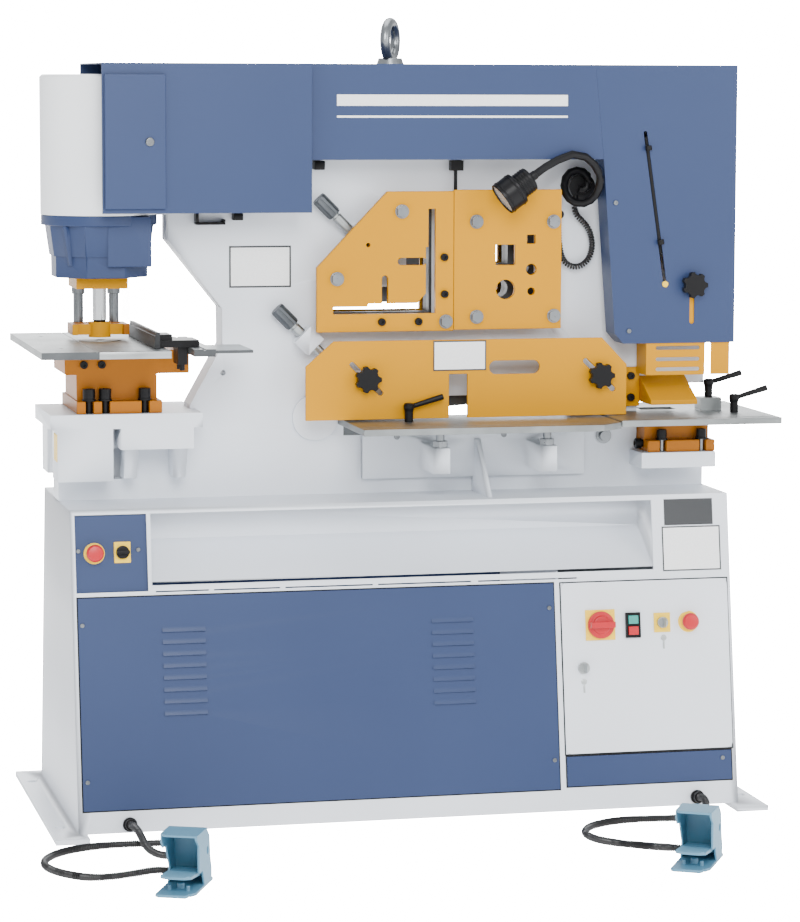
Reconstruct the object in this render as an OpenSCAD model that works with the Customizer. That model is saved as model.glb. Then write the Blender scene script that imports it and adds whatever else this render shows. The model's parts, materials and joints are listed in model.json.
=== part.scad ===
// Profile shearing machine: a two-cylinder hydraulic machine that punches, shears and notches steel sections.
// X runs to the right along the front, Y to the back, Z up. The origin is on the floor under the middle.

/* [Cabinet] */
// Width of the base cabinet
base_w = 1580; // [1480:10:1700]
// Height of the cabinet's deck above the floor
base_h = 741; // [735:1:745]
// Depth of the cabinet at its deck
deck_d = 450; // [430:5:480]
// Depth of the cabinet at the floor
skirt_d = 676; // [640:2:720]
// Thickness of the cabinet's welded sheet
base_wall = 6; // [4:1:8]
// Thickness of the deck plate
deck_t = 12; // [8:1:16]
// Thickness of the two foot plates
foot_t = 12; // [10:1:16]
// How far a foot plate stands out from the cabinet's side
foot_out = 58; // [50:1:70]
// Length of a foot plate, front to back
foot_l = 780; // [740:10:840]
// Diameter of the floor anchor holes
anchor_d = 24; // [18:1:28]
// Distance between anchor holes, front to back
anchor_pitch = 520; // [440:10:600]
// Thickness of the removable blue panels
panel_t = 2.5; // [1.5:0.5:4]
// Number of louvres in each column
louvre_count = 8; // [4:1:9]
// Pitch of the louvres up the panel
louvre_pitch = 27.3; // [20:0.1:30]
// Length of one louvre
louvre_w = 100; // [60:5:120]
// How far a louvre stands out of its panel
louvre_out = 7; // [4:1:9]

/* [Scrap chute] */
// Height of the edge where the chute's back wall folds into its floor
chute_fold_z = 655; // [640:5:670]
// Distance from the middle plane to the chute's back wall
chute_back_y = 115; // [100:5:130]
// Thickness of the chute's sheet
chute_t = 3; // [2:0.5:5]

/* [Electrical door] */
// Width of the electrical door
door_w = 412; // [400:1:414]
// Height of the electrical door
door_h = 398; // [380:1:399]
// Corner radius of the electrical door
door_r = 12; // [6:1:20]
// Thickness of the door's sheet
door_t = 3; // [2:0.5:4]
// Diameter of the main switch's red knob
switch_d = 64; // [50:1:70]
// Diameter of the mushroom heads of the stop buttons
mushroom_d = 40; // [34:1:44]
// Travel of the mushroom heads
mushroom_travel = 4; // [3:0.5:5]

/* [Frame] */
// Thickness of each of the two frame plates
plate_t = 20; // [16:1:25]
// Gap between the two frame plates
frame_gap = 50; // [48:1:54]
// Height of the covers' tops above the floor
machine_h = 1757; // [1745:1:1770]
// Height of the lower jaw's top, under the pedestal plate
jaw_z = 917; // [910:1:925]
// Thickness of the pedestal's top plate
pedestal_t = 34; // [28:1:38]
// Width of the pedestal's top plate, front to back
pedestal_d = 290; // [270:5:310]
// Diameter of the tapped bosses behind the yellow plates
boss_d = 32; // [26:1:36]

/* [Shear beam] */
// Thickness of the moving beam
beam_t = 38; // [34:1:40]
// Diameter of the beam's pivot pin
pivot_d = 80; // [60:2:90]
// Diameter of the pivot pin's end plates
pivot_cap_d = 110; // [106:2:120]
// Length of the flat shear blades
blade_l = 575; // [500:5:590]
// Thickness of the moving blades
blade_t = 5.5; // [5:0.1:5.7]

/* [Punch] */
// Distance of the punch axis to the left of the middle
punch_out = 685; // [680:1:690]
// Outside diameter of the punch cylinder
cylinder_d = 272; // [260:1:280]
// Bore of the punch cylinder
cylinder_bore = 200; // [180:1:210]
// Height of the punch cylinder's top
cylinder_top = 1731; // [1700:1:1745]
// Diameter of the chromed punch ram
ram_d = 33; // [28:1:36]
// Diameter of the punch
punch_d = 22; // [14:1:26]
// Clearance between punch and die
punch_clear = 0.6; // [0.4:0.1:1.2]
// Outside diameter of the stripper's nose
nose_d = 52; // [48:1:58]
// Outside diameter of the die
die_d = 98; // [90:1:104]
// Thickness of the clear guards
guard_t = 4; // [3:0.5:6]

/* [Punch table] */
// Length of the punch table, front to back
table_l = 610; // [560:5:640]
// Width of the punch table
table_w = 293; // [280:1:300]
// Thickness of the punch table
table_t = 17; // [14:1:22]
// Length of the fence, front to back
fence_l = 400; // [340:5:440]
// Height of the fence
fence_h = 37; // [28:1:40]
// Thickness of the fence
fence_t = 12; // [8:1:14]

/* [Shear tables] */
// Height of the flat shear's table above the floor
flat_table_z = 922; // [919:1:924]
// Length of the flat shear's table
flat_table_l = 632; // [600:2:634]
// Thickness of the flat shear's table
flat_table_t = 15; // [12:1:18]
// Height of the notcher's table above the floor
notch_table_z = 925; // [924:1:926]
// Thickness of the notcher's table
notch_table_t = 15; // [12:1:18]
// Length of the notcher's table, front to back
notch_table_l = 425; // [400:5:450]
// Length of a clamp lever's arm
lever_l = 86; // [70:1:95]

/* [Yellow plates] */
// Thickness of the angle and bar shear plates
shear_plate_t = 15; // [10:1:18]
// Distance from the frame to the front of the angle and bar shear plates
shear_plate_out = 70; // [68:1:72]
// Thickness of the flat shear's guard
flat_guard_t = 8; // [5:1:10]
// Diameter of the star knobs
star_d = 63; // [50:1:66]
// Diameter of the hold-down spindles
spindle_d = 24; // [18:1:28]
// Diameter of the hold-down spindles' grips
grip_d = 33; // [28:1:38]

/* [Covers] */
// Thickness of the cover sheet
cover_t = 3; // [2:0.5:4]
// Depth of the beam cover and the right cover
cover_d = 316; // [300:2:330]
// Distance from the middle plane to the front of the left cover
left_cover_y = 200; // [190:1:210]
// How far the left cover's door stands out
cover_door_out = 10; // [6:1:14]

/* [Pedals] */
// Width of a foot pedal
pedal_w = 84; // [76:1:96]
// Length of a foot pedal's base
pedal_l = 181; // [165:1:200]
// Height of a foot pedal's hood
pedal_h = 127; // [110:1:140]
// Outside diameter of the pedals' conduits
conduit_d = 18; // [16:1:20]

/* [Lifting eye and lamp] */
// Outside diameter of the lifting eye's ring
eye_d = 108; // [90:1:118]
// Section diameter of the lifting eye's ring
eye_wire = 24; // [18:1:28]
// Outside diameter of the lamp's head
lamp_d = 80; // [70:1:90]
// Diameter of the lamp's bendable arm
lamp_arm_d = 19; // [16:1:22]

/* [Hidden] */
$fn = 48;

// Clearances
run = 0.05;
seat = 0.3;
slack = 1.5;

// Colours
white_paint = "#e4e8ea";
blue_paint = "#6577a0";
yellow_paint = "#e3a416";
orange_paint = "#d98a1e";
bare_steel = "#a9adae";
dark_steel = "#4a4b4c";
black_plastic = "#1c1c1e";
red_plastic = "#c8202c";

// Places worked out from the sizes
half_w = base_w / 2;
lean = atan((skirt_d - deck_d) / 2 / (base_h - foot_t));
frame_y = frame_gap / 2 + plate_t;
frame_right = half_w - 3;
roof_z = machine_h - cover_t;
punch_x = -punch_out;
pivot = [-180, 925];
mouth = [618, 832, 990];
deck_hole_y = deck_d / 2 - 30;
pedestal_z = jaw_z + pedestal_t;
pedestal_x = [-821, -466];
shear_face_y = -frame_y - shear_plate_out;
shear_back_y = shear_face_y + shear_plate_t;
guard_back_y = -frame_y - 97;
guard_face_y = guard_back_y - flat_guard_t;

// Openings of the cabinet's front as left, right, bottom and top
chute_window = [-604, 600, base_h - 175, base_h - deck_t];
control_window = [-half_w + 11, -613, base_h - 188, base_h - deck_t];
door_right = half_w - 10;
door_left = door_right - door_w;
door_low = 142;
door_top = door_low + door_h;
door_window = [door_left + 20, door_right - 20, door_low + 20, door_top - 20];
louvred_panel_size = [-half_w + 13, door_left - 18, 62, 541];
plinth_size = [door_left + 1, door_right - 4, 67, door_low - 6];
rear_panel_size = [-half_w + 60, half_w - 60, 90, 660];
divider_x = door_left - 9;
slits = [[-596, -472], [-461, -305], [-293, -85], [-73, 152], [168, 410]];
slit_h = 3;
slit_z = base_h - 191;

// Height along the leaning front for a height above the floor
function up(z) = (z - foot_t) / cos(lean);

// Moves its children onto the cabinet's leaning front: x across, y up the sheet, z out of it
module on_front() {
    translate([0, -skirt_d / 2, foot_t]) rotate([90 - lean, 0, 0]) children();
}

// The same for the cabinet's leaning back
module on_back() {
    rotate(180) on_front() children();
}

// A block on the leaning front, from a window, a starting height out of the sheet and a thickness
module front_block(window, out, thick) {
    translate([window[0], up(window[2]), out])
        cube([window[1] - window[0], up(window[3]) - up(window[2]), thick]);
}

function shrink(window, by) = [window[0] + by, window[1] - by, window[2] + by, window[3] - by];

// A flat plate standing in the XZ plane between two distances in Y
module standing(y0, y1) {
    translate([0, y1, 0]) rotate([90, 0, 0]) linear_extrude(y1 - y0) children();
}

// A cylinder along Y from y0 to y1
module bar_y(x, z, d, y0, y1) {
    translate([x, y1, z]) rotate([90, 0, 0]) cylinder(d = d, h = y1 - y0);
}

module rounded_plate(size, r) {
    hull() for (x = [r, size[0] - r]) for (y = [r, size[1] - r]) translate([x, y]) circle(r, $fn = 32);
}

module slot_2d(a, b, d) {
    hull() {
        translate(a) circle(d = d, $fn = 24);
        translate(b) circle(d = d, $fn = 24);
    }
}

// Cabinet

module cabinet_profile(wall, low, high) {
    half_low = skirt_d / 2 - wall / cos(lean) + (foot_t - low) * tan(lean);
    half_high = deck_d / 2 - wall / cos(lean) + (base_h - high) * tan(lean);
    polygon([[-half_low, low], [half_low, low], [half_high, high], [-half_high, high]]);
}

module along_x(x0, x1) {
    translate([x0, 0, 0]) rotate([90, 0, 90]) linear_extrude(x1 - x0) children();
}

module foot_plate() {
    translate([-half_w - foot_out, -foot_l / 2, 0]) cube([foot_out + 20, foot_l, foot_t]);
}

module anchor_holes() {
    for (x = [-1, 1]) for (y = [-1, 1])
        translate([x * (half_w + foot_out - 26), y * anchor_pitch / 2, -1]) cylinder(d = anchor_d, h = foot_t + 2);
}

lip_z = chute_window[2] + 8;
lip_y = -skirt_d / 2 + (lip_z - foot_t) * tan(lean) + base_wall;

// What the chute keeps free, down to the middle of its sheet
module chute_space() {
    polygon([
        [-chute_back_y + chute_t / 2, base_h + 1], [-chute_back_y + chute_t / 2, chute_fold_z - chute_t / 2],
        [lip_y, lip_z - chute_t / 2], [-skirt_d / 2 - 1, lip_z - chute_t / 2], [-skirt_d / 2 - 1, base_h + 1]
    ]);
}

module chute_profile() {
    polygon([
        [-chute_back_y, base_h - deck_t + 1], [-chute_back_y + chute_t, base_h - deck_t + 1],
        [-chute_back_y + chute_t, chute_fold_z - chute_t], [lip_y, lip_z - chute_t],
        [lip_y, lip_z], [-chute_back_y, chute_fold_z]
    ]);
}

module chute_end_profile() {
    low_y = -skirt_d / 2 + (chute_window[2] - foot_t) * tan(lean) + base_wall - 1;
    high_y = -deck_d / 2 + base_wall - 1;
    polygon([
        [-chute_back_y + chute_t, base_h - deck_t + 1], [-chute_back_y + chute_t, chute_fold_z - chute_t - 1],
        [low_y, chute_window[2] - 2], [high_y, base_h - deck_t + 1]
    ]);
}

module scrap_chute() {
    along_x(chute_window[0] - chute_t, chute_window[1] + chute_t) chute_profile();
    for (x = [chute_window[0] - chute_t, chute_window[1]]) along_x(x, x + chute_t) chute_end_profile();
}

module base_cabinet() {
    color(white_paint) {
        difference() {
            union() {
                along_x(-half_w, half_w) cabinet_profile(0, foot_t - 2, base_h);
                foot_plate();
                mirror([1, 0, 0]) foot_plate();
            }
            difference() {
                along_x(-half_w + base_wall, half_w - base_wall) cabinet_profile(base_wall, foot_t - 3, base_h - deck_t);
                for (side = [0, 1]) mirror([side, 0, 0]) foot_plate();
                along_x(divider_x, divider_x + base_wall) difference() {
                    cabinet_profile(0, foot_t, base_h);
                    chute_space();
                }
            }
            on_front() {
                front_block(chute_window, -base_wall - 1, base_wall + 2);
                front_block(control_window, -base_wall - 1, base_wall + 2);
                front_block(door_window, -base_wall - 1, base_wall + 2);
                front_block(shrink(louvred_panel_size, 25), -base_wall - 1, base_wall + 2);
                front_block(shrink(plinth_size, 14), -base_wall - 1, base_wall + 2);
                for (s = slits) front_block([s[0], s[1], slit_z, slit_z + slit_h], -base_wall - 1, base_wall + 2);
            }
            on_back() front_block(shrink(rear_panel_size, 25), -base_wall - 1, base_wall + 2);
            anchor_holes();
        }
        scrap_chute();
    }
}

// A pressed louvre, open at its lower edge, in the plane of its panel
module louvre() {
    rise = 13;
    wall = 1.4;
    for (x = [0, louvre_w - wall]) translate([x, 0, 0]) rotate([90, 0, 90]) linear_extrude(wall)
        polygon([[0, panel_t / 2], [0, louvre_out], [rise, panel_t], [rise, panel_t / 2]]);
    rotate([90, 0, 90]) linear_extrude(louvre_w)
        polygon([[0, louvre_out - wall], [0, louvre_out], [rise, panel_t], [rise, panel_t / 2], [rise - 1, panel_t / 2]]);
}

louvre_x = [-584, 52];
louvre_low_z = 270;

module louvred_panel() {
    difference() {
        front_block(louvred_panel_size, seat, panel_t);
        for (x = louvre_x) for (i = [0 : louvre_count - 1])
            translate([x + 2, up(louvre_low_z) + i * louvre_pitch, -1]) cube([louvre_w - 4, 10, panel_t + 3]);
    }
    for (x = louvre_x) for (i = [0 : louvre_count - 1])
        translate([x, up(louvre_low_z) + i * louvre_pitch, seat]) louvre();
}

module cabinet_panels() {
    color(blue_paint) {
        on_front() {
            louvred_panel();
            front_block(plinth_size, seat, panel_t);
        }
        on_back() front_block(rear_panel_size, seat, panel_t);
    }
}

// Places of the hand controls as X, height
selector_at = [-670, base_h - 98];
panel_stop_at = [-735, base_h - 99];
main_switch_at = [461, 440];
start_stop_at = [541, 437];
key_switch_at = [614, 441];
door_stop_at = [680, 441];
door_lock_at = [417, 341];
panel_back = -base_wall - panel_t - seat;

module at_front(place, out = 0) {
    translate([place[0], up(place[1]), out]) children();
}

module control_panel() {
    color(blue_paint) on_front() difference() {
        union() {
            front_block([control_window[0] - 4, control_window[1] + 4, control_window[2] - 4, control_window[3] - 1],
                panel_back, panel_t);
            at_front(panel_stop_at, panel_back) cylinder(d = 48, h = panel_t + 5);
            at_front(selector_at, panel_back) translate([-19, -24, 0]) cube([38, 48, panel_t + 3]);
        }
        at_front(panel_stop_at, panel_back - 1) cylinder(d = 22 + 2 * run, h = 20);
        at_front(selector_at, panel_back - 1) cylinder(d = 22 + 2 * run, h = 20);
    }
}

module mushroom(out) {
    translate([0, 0, out]) rotate_extrude() polygon([
        [0, -30], [11, -30], [11, mushroom_travel + 1], [mushroom_d / 2 - 5, mushroom_travel + 1],
        [mushroom_d / 2, mushroom_travel + 6], [mushroom_d / 2, mushroom_travel + 13],
        [mushroom_d / 2 - 4, mushroom_travel + 18], [0, mushroom_travel + 20]
    ]);
}

module panel_stop_button() {
    color(red_plastic) on_front() at_front(panel_stop_at) mushroom(panel_back + panel_t + 5);
}

module selector_knob() {
    color(black_plastic) on_front() at_front(selector_at, panel_back + panel_t + 3 + seat) {
        translate([0, 0, -26]) cylinder(d = 22, h = 26);
        cylinder(d = 30, h = 8);
        translate([-15, -4, 8]) cube([30, 8, 12]);
    }
}

// Electrical door, hinged at its right edge
door_out = 1;
door_face = door_out + door_t;

module door_seats() {
    at_front(main_switch_at, door_face - 0.5) translate([-36, -36, 0]) cube([72, 72, 4.5]);
    at_front(start_stop_at, door_face - 0.5) translate([-18, -30, 0]) cube([36, 60, 8.5]);
    at_front(key_switch_at, door_face - 0.5) translate([-20, -23, 0]) cube([40, 46, 3.5]);
    at_front(door_stop_at, door_face - 0.5) cylinder(d = 48, h = 5.5);
}

module electrical_door() {
    color(white_paint) on_front() difference() {
        union() {
            translate([door_left, up(door_low), door_out]) linear_extrude(door_t)
                rounded_plate([door_w, door_h / cos(lean)], door_r);
            difference() {
                front_block(shrink(door_window, 4), -14, 16);
                front_block(shrink(door_window, 6.5), -15, 19);
            }
            door_seats();
        }
        at_front(main_switch_at, -1) cylinder(d = 12 + 2 * run, h = 30);
        at_front(key_switch_at, -1) cylinder(d = 22 + 2 * run, h = 30);
        at_front(door_stop_at, -1) cylinder(d = 22 + 2 * run, h = 30);
        at_front(door_lock_at, -1) cylinder(d = 22 + 2 * run, h = 30);
        for (s = [-1, 1]) at_front(start_stop_at, -1) translate([-12 - seat, s * 13 - 10 - seat, 0])
            cube([24 + 2 * seat, 20 + 2 * seat, 30]);
    }
}

module main_switch_knob() {
    color(red_plastic) on_front() at_front(main_switch_at, door_face + 4 + seat) {
        translate([0, 0, -30]) cylinder(d = 12, h = 31);
        cylinder(d = switch_d, h = 9);
        translate([0, 0, 8]) cylinder(d1 = switch_d * 0.72, d2 = switch_d * 0.62, h = 6);
        translate([-switch_d * 0.46, -7, 9]) cube([switch_d * 0.92, 14, 20]);
    }
}

module push_button(place, side) {
    on_front() at_front(place, door_face + 8) translate([-12, side * 13 - 10, -22]) cube([24, 20, 25]);
}

module start_button() {
    color("#2c8f86") push_button(start_stop_at, 1);
}

module stop_button() {
    color(red_plastic) push_button(start_stop_at, -1);
}

module key_bow() {
    translate([-1.25, -11, 0]) cube([2.5, 22, 9]);
    translate([-1.25, 0, 18]) rotate([0, 90, 0]) cylinder(d = 24, h = 2.5);
}

module switch_key() {
    color(bare_steel) on_front() at_front(key_switch_at, door_face + 3 + seat) {
        translate([0, 0, -24]) cylinder(d = 22, h = 24);
        cylinder(d = 26, h = 7);
        translate([0, 0, 6]) key_bow();
    }
}

module door_stop_button() {
    color(red_plastic) on_front() at_front(door_stop_at) mushroom(door_face + 5);
}

module door_lock() {
    color(bare_steel) on_front() at_front(door_lock_at, door_face + seat) {
        translate([0, 0, -18]) cylinder(d = 22, h = 18);
        cylinder(d = 28, h = 6);
        translate([0, 0, 5]) key_bow();
        translate([-4, -12, -18]) cube([8, 24, 3]);
    }
}

// Plate inside the electrical bay with its rails, contactors and fuses
gear_y = 120;

module control_gear() {
    x0 = divider_x + base_wall + 12;
    x1 = half_w - base_wall - 12;
    color(bare_steel) {
        translate([x0, gear_y, 150]) cube([x1 - x0, 3, 390]);
        for (x = [x0, x1 - 20]) translate([x, gear_y + 2, 100]) cube([20, 3, 470]);
        for (z = [230, 340, 450]) translate([x0 + 20, gear_y - 8, z]) cube([x1 - x0 - 40, 9, 35]);
        for (x = [x0, x1 - 20]) translate([x, gear_y + 2, foot_t]) cube([20, 40, 3]);
        for (x = [x0, x1 - 20]) translate([x, gear_y + 2, foot_t]) cube([20, 3, 100]);
    }
    color(dark_steel) {
        for (i = [0 : 3]) translate([x0 + 30 + i * 52, gear_y - 80, 430]) cube([45, 73, 75]);
        for (i = [0 : 6]) translate([x0 + 30 + i * 18.5, gear_y - 68, 325]) cube([17.5, 61, 66]);
        for (i = [0 : 15]) translate([x0 + 30 + i * 12, gear_y - 45, 225]) cube([11, 38, 46]);
    }
}

// Main frame

throat = [[-529, 1406], [-529, 1347], [-402, 1187], [-401, 1100], [-479, 960], [-479, jaw_z]];
jaw_left = -791;

module frame_outline() {
    polygon(concat(
        [[jaw_left, base_h], [frame_right, base_h], [frame_right, mouth[1]], [mouth[0], mouth[1]],
         [mouth[0], mouth[2]], [frame_right, mouth[2]], [frame_right, roof_z - 64],
         [frame_right - 57, roof_z - seat], [punch_x, roof_z - seat], [punch_x, 1406]],
        throat, [[jaw_left, jaw_z]]));
}

// Solid middle of the frame, between its two plates, clear of the beam
module frame_web_outline() {
    column_x = pivot[0] - 105;
    difference() {
        frame_outline();
        polygon([[column_x, 820], [frame_right + 1, 820], [frame_right + 1, roof_z - 54], [column_x, roof_z - 54]]);
    }
}

// Angle shear opening: an L with one leg up and one leg to the left
angle_corner = [97, 1173];
angle_leg_x = [-150, 97];
angle_leg_z = [1173, 1419];
angle_leg_t = 23;
angle_rim = 7;
angle_block_t = 62;

module angle_opening(grow = 0) {
    inner = [angle_corner[0] - angle_leg_t - grow, angle_corner[1] + angle_leg_t + grow];
    polygon([
        [angle_leg_x[0] - grow, angle_corner[1] - grow], [angle_corner[0] + grow, angle_corner[1] - grow],
        [angle_corner[0] + grow, angle_leg_z[1] + grow], [inner[0], angle_leg_z[1] + grow],
        [inner[0], inner[1] + 21], [inner[0] - 21, inner[1]], [angle_leg_x[0] - grow, inner[1]]
    ]);
}

// Bar shear openings as X, height and size
square_bars = [[267.5, 1309, 48], [330.5, 1345.5, 21]];
round_bars = [[268, 1227, 46], [331, 1274, 26], [331, 1222, 18]];

module bar_openings(grow = 0) {
    for (s = square_bars) translate([s[0], s[1]]) square(s[2] + 2 * grow, center = true);
    for (r = round_bars) translate([r[0], r[1]]) circle(d = r[2] + 2 * grow, $fn = 32);
}

bar_block = [228, 1196, 128, 176];
flat_blade_x = -110;
flat_gap_z = 48;

module block_2d(b, by = 0) {
    translate([b[0] - by, b[1] - by]) square([b[2] + 2 * by, b[3] + 2 * by]);
}

// The L-shaped block that carries the angle shear's opening
module angle_block_2d(by = 0) {
    right = angle_corner[0] + angle_rim + by;
    low = angle_corner[1] - 13 - by;
    polygon([
        [angle_leg_x[0] - 10 - by, low], [right, low], [right, angle_leg_z[1] + 13 + by],
        [right - angle_block_t - 2 * by, angle_leg_z[1] + 13 + by],
        [right - angle_block_t - 2 * by, low + angle_block_t + 10 + 2 * by],
        [angle_leg_x[0] - 10 - by, low + angle_block_t + 10 + 2 * by]
    ]);
}

module frame_windows() {
    block_2d(bar_block, seat);
    angle_block_2d(seat);
    translate([flat_blade_x - seat, flat_table_z - 42 - seat]) square([blade_l + 2 * seat, flat_gap_z + 42 + seat]);
}

// Bolts of the yellow plates, knobs' studs and spindles as X, height
angle_bolts = [[15, 1413], [-141, 1256], [122, 1153]];
bar_bolts = [[196, 1388], [385, 1387], [197, 1163], [387, 1163]];
stud_places = [[-78, 1023], [491, 1023]];
stud_d = 12;
upper_grip = [-177, 1444];
lower_grip = [-277, 1186];
spindle_y = -frame_y - 26;
spindle_block_at = [110, 84];
spindle_block_l = 44;

module along_spindle(grip) {
    translate([grip[0], spindle_y, grip[1]]) rotate([0, 135, 0]) children();
}

module frame_plate(y) {
    standing(y, y + plate_t) difference() {
        frame_outline();
        frame_windows();
    }
}

// Way out for the slugs under the punch, through the front plate
module slug_hole() {
    translate([punch_x - 22, -frame_y - seat / 2, 789]) cube([66, frame_y, 72]);
}

module shelf_slab() {
    translate([-67, -frame_y - 20, 777]) cube([547, 20, flat_table_z - flat_table_t - 777]);
    for (x = [72, 333]) translate([x, -frame_y - 160, 801]) cube([40, 141, 61]);
    along_x(205, 219) polygon([[-frame_y, base_h], [-186, base_h], [-frame_y - 32, 867], [-frame_y, 867]]);
}

module pedestal() {
    difference() {
        union() {
            translate([pedestal_x[0], -pedestal_d / 2, jaw_z]) cube([pedestal_x[1] - pedestal_x[0], pedestal_d, pedestal_t]);
            for (side = [0, 1]) mirror([0, side, 0]) {
                translate([-804, -pedestal_d / 2, 796]) cube([128, pedestal_d / 2 - frame_y + 1, jaw_z - 795]);
                translate([-657, -pedestal_d / 2, 868]) cube([170, pedestal_d / 2 - frame_y + 1, jaw_z - 867]);
                for (x = [-646, -531]) along_x(x, x + 30)
                    polygon([[-pedestal_d / 2 + 6, 870], [-frame_y + 1, 870], [-frame_y + 1, 796], [-pedestal_d / 2 + 40, 796]]);
            }
        }
        translate([punch_x, 0, 700]) cylinder(d = 44, h = 400);
    }
}

module notcher_bed() {
    translate([601, -pedestal_d / 2, mouth[1] - 37]) cube([frame_right - 601, pedestal_d, 37]);
}

// Two plates, the web between them, and what is welded to their outsides, each a seat from the next
module main_frame() {
    color(white_paint) difference() {
        union() {
            frame_plate(-frame_y);
            frame_plate(frame_y - plate_t);
            standing(-frame_gap / 2 + seat, frame_gap / 2 - seat) frame_web_outline();
            difference() {
                union() {
                    pedestal();
                    shelf_slab();
                    notcher_bed();
                }
                standing(-frame_y - seat, frame_y + seat) offset(delta = seat) frame_outline();
            }
            for (b = concat(angle_bolts, bar_bolts)) bar_y(b[0], b[1], boss_d, shear_back_y, -frame_y + 1);
            for (s = stud_places) {
                bar_y(s[0], s[1], 28, guard_back_y + seat, -frame_y + 1);
                bar_y(s[0], s[1], stud_d, guard_face_y - 22, -frame_y + 1);
            }
            for (g = [upper_grip, lower_grip]) along_spindle(g)
                translate([-26, -26, g == upper_grip ? spindle_block_at[0] : spindle_block_at[1]])
                    cube([52, 53, spindle_block_l]);
        }
        translate([punch_x, 0, 1300]) cylinder(d = cylinder_d + 2 * seat, h = 500, $fn = 96);
        translate([punch_x, 0, 700]) cylinder(d = 44, h = 400);
        slug_hole();
        bar_y(pivot[0], pivot[1], pivot_d + 2 * run, -60, 60);
        bar_y(-400, 1034, 13, -60, 60);
        for (b = concat(angle_bolts, bar_bolts)) bar_y(b[0], b[1], 16 + 2 * seat, shear_back_y - 1, -frame_y - 8);
        for (g = [upper_grip, lower_grip]) along_spindle(g) cylinder(d = spindle_d + 2 * run, h = 260);
        translate([eye_at[0], 0, roof_z - 40]) cylinder(d = 30 + 2 * run, h = 60);
    }
}

module pivot_pin() {
    color(bare_steel) {
        bar_y(pivot[0], pivot[1], pivot_d, -frame_y, frame_y);
        bar_y(pivot[0], pivot[1], pivot_cap_d, -frame_y - 10, -frame_y - seat);
        bar_y(pivot[0], pivot[1], pivot_cap_d, frame_y + seat, frame_y + 10);
        bar_y(pivot[0], pivot[1], pivot_d, -frame_y - 2, frame_y + 2);
    }
}

// Moving beam and blades

nose_x = [640, 722];
beam_half = beam_t / 2;

module beam_outline() {
    difference() {
        union() {
            polygon([
                [pivot[0], pivot[1] - 88], [-90, 950], [flat_blade_x + blade_l, 985], [nose_x[0], 1010], [nose_x[1] + 30, 1010],
                [nose_x[1] + 30, 1440], [640, 1520], [200, 1560], [-60, 1520], [-230, 1200], [pivot[0] - 88, pivot[1]]
            ]);
            translate(pivot) circle(r = 88);
        }
        translate(pivot) circle(d = pivot_d + 2 * run, $fn = 96);
        angle_block_2d(-5);
        bar_openings(2);
    }
}

module shear_beam() {
    color(dark_steel) standing(-beam_half, beam_half) beam_outline();
}

module beam_blades() {
    face = -beam_half - blade_t;
    color(bare_steel) {
        standing(face, -beam_half) {
            polygon([[flat_blade_x, 924], [flat_blade_x + blade_l, 964], [flat_blade_x + blade_l, 1012], [flat_blade_x, 974]]);
            difference() {
                block_2d(bar_block, -3);
                bar_openings();
            }
            difference() {
                angle_block_2d(-1);
                angle_opening();
            }
        }
        translate([nose_x[0], -24, 945]) cube([nose_x[1] - nose_x[0], 48, 65]);
    }
}

module fixed_blades() {
    color(bare_steel) {
        standing(-frame_y, -frame_gap / 2 + 0.2) {
            translate([flat_blade_x, flat_table_z - 42]) square([blade_l, 42]);
            difference() {
                block_2d(bar_block);
                bar_openings();
            }
            difference() {
                angle_block_2d();
                angle_opening();
            }
        }
    }
}

// Punch station

head_low = 1262;
head_top = 1407;
flange_t = 24;
ram_shoulder = 1312;
holder_top = 1198;
holder_low = 1156;
punch_tip = 1125;
plate_low = 1236;

module punch_cylinder() {
    color("#f0f2f2") translate([punch_x, 0, 0]) rotate_extrude($fn = 96) polygon([
        [cylinder_bore / 2, head_top], [cylinder_d / 2, head_top], [cylinder_d / 2, cylinder_top - 6],
        [cylinder_d / 2 - 6, cylinder_top], [0, cylinder_top], [0, cylinder_top - 30], [cylinder_bore / 2, cylinder_top - 30]
    ]);
}

module head_octagon(h) {
    rotate(22.5) cylinder(r = 116, h = h, $fn = 8);
}

module punch_head() {
    color(blue_paint) difference() {
        union() {
            translate([punch_x, 0, head_top - flange_t]) cylinder(d = cylinder_d - 2, h = flange_t - seat, $fn = 96);
            translate([punch_x, 0, 0]) {
                hull() {
                    translate([0, 0, head_top - flange_t]) rotate(22.5) cylinder(r = cylinder_d / 2 - 5, h = 1, $fn = 8);
                    translate([0, 0, head_low + 50]) rotate(22.5) cylinder(r = 121, h = 1, $fn = 8);
                }
                translate([0, 0, head_low]) head_octagon(52);
                for (a = [45 : 90 : 315]) rotate(a) standing(-5, 5) polygon([
                    [90, head_top - flange_t + 1], [cylinder_d / 2 - 4, head_top - flange_t + 1],
                    [cylinder_d / 2 - 4, head_top - flange_t - 8], [113, head_top - flange_t - 92], [90, head_top - flange_t - 92]
                ]);
            }
            translate([-681, -122, 1289]) cube([101, 62, 115]);
        }
        translate([punch_x, 0, head_low + 4]) cylinder(d = 80 + 2 * run, h = 200);
        translate([punch_x, 0, head_low - 1]) cylinder(d = ram_d + 2 * run, h = 10);
    }
}

module punch_ram() {
    color(bare_steel) translate([punch_x, 0, 0]) {
        translate([0, 0, ram_shoulder]) cylinder(d = 80, h = 250);
        translate([0, 0, 1560]) cylinder(d = cylinder_bore - 2 * run, h = 60, $fn = 96);
        translate([0, 0, holder_top]) cylinder(d = ram_d, h = ram_shoulder - holder_top + 1);
    }
    color(dark_steel) translate([punch_x, 0, 0]) rotate_extrude() polygon([
        [0, holder_top + 1], [ram_d / 2, holder_top + 1], [ram_d / 2, holder_low + 4], [ram_d / 2 - 4, holder_low],
        [punch_d / 2, holder_low], [punch_d / 2, punch_tip], [0, punch_tip + 2]
    ]);
}

strut_y = 58;
strut_x = [-727, -643];
nose_low = 1120;

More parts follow.
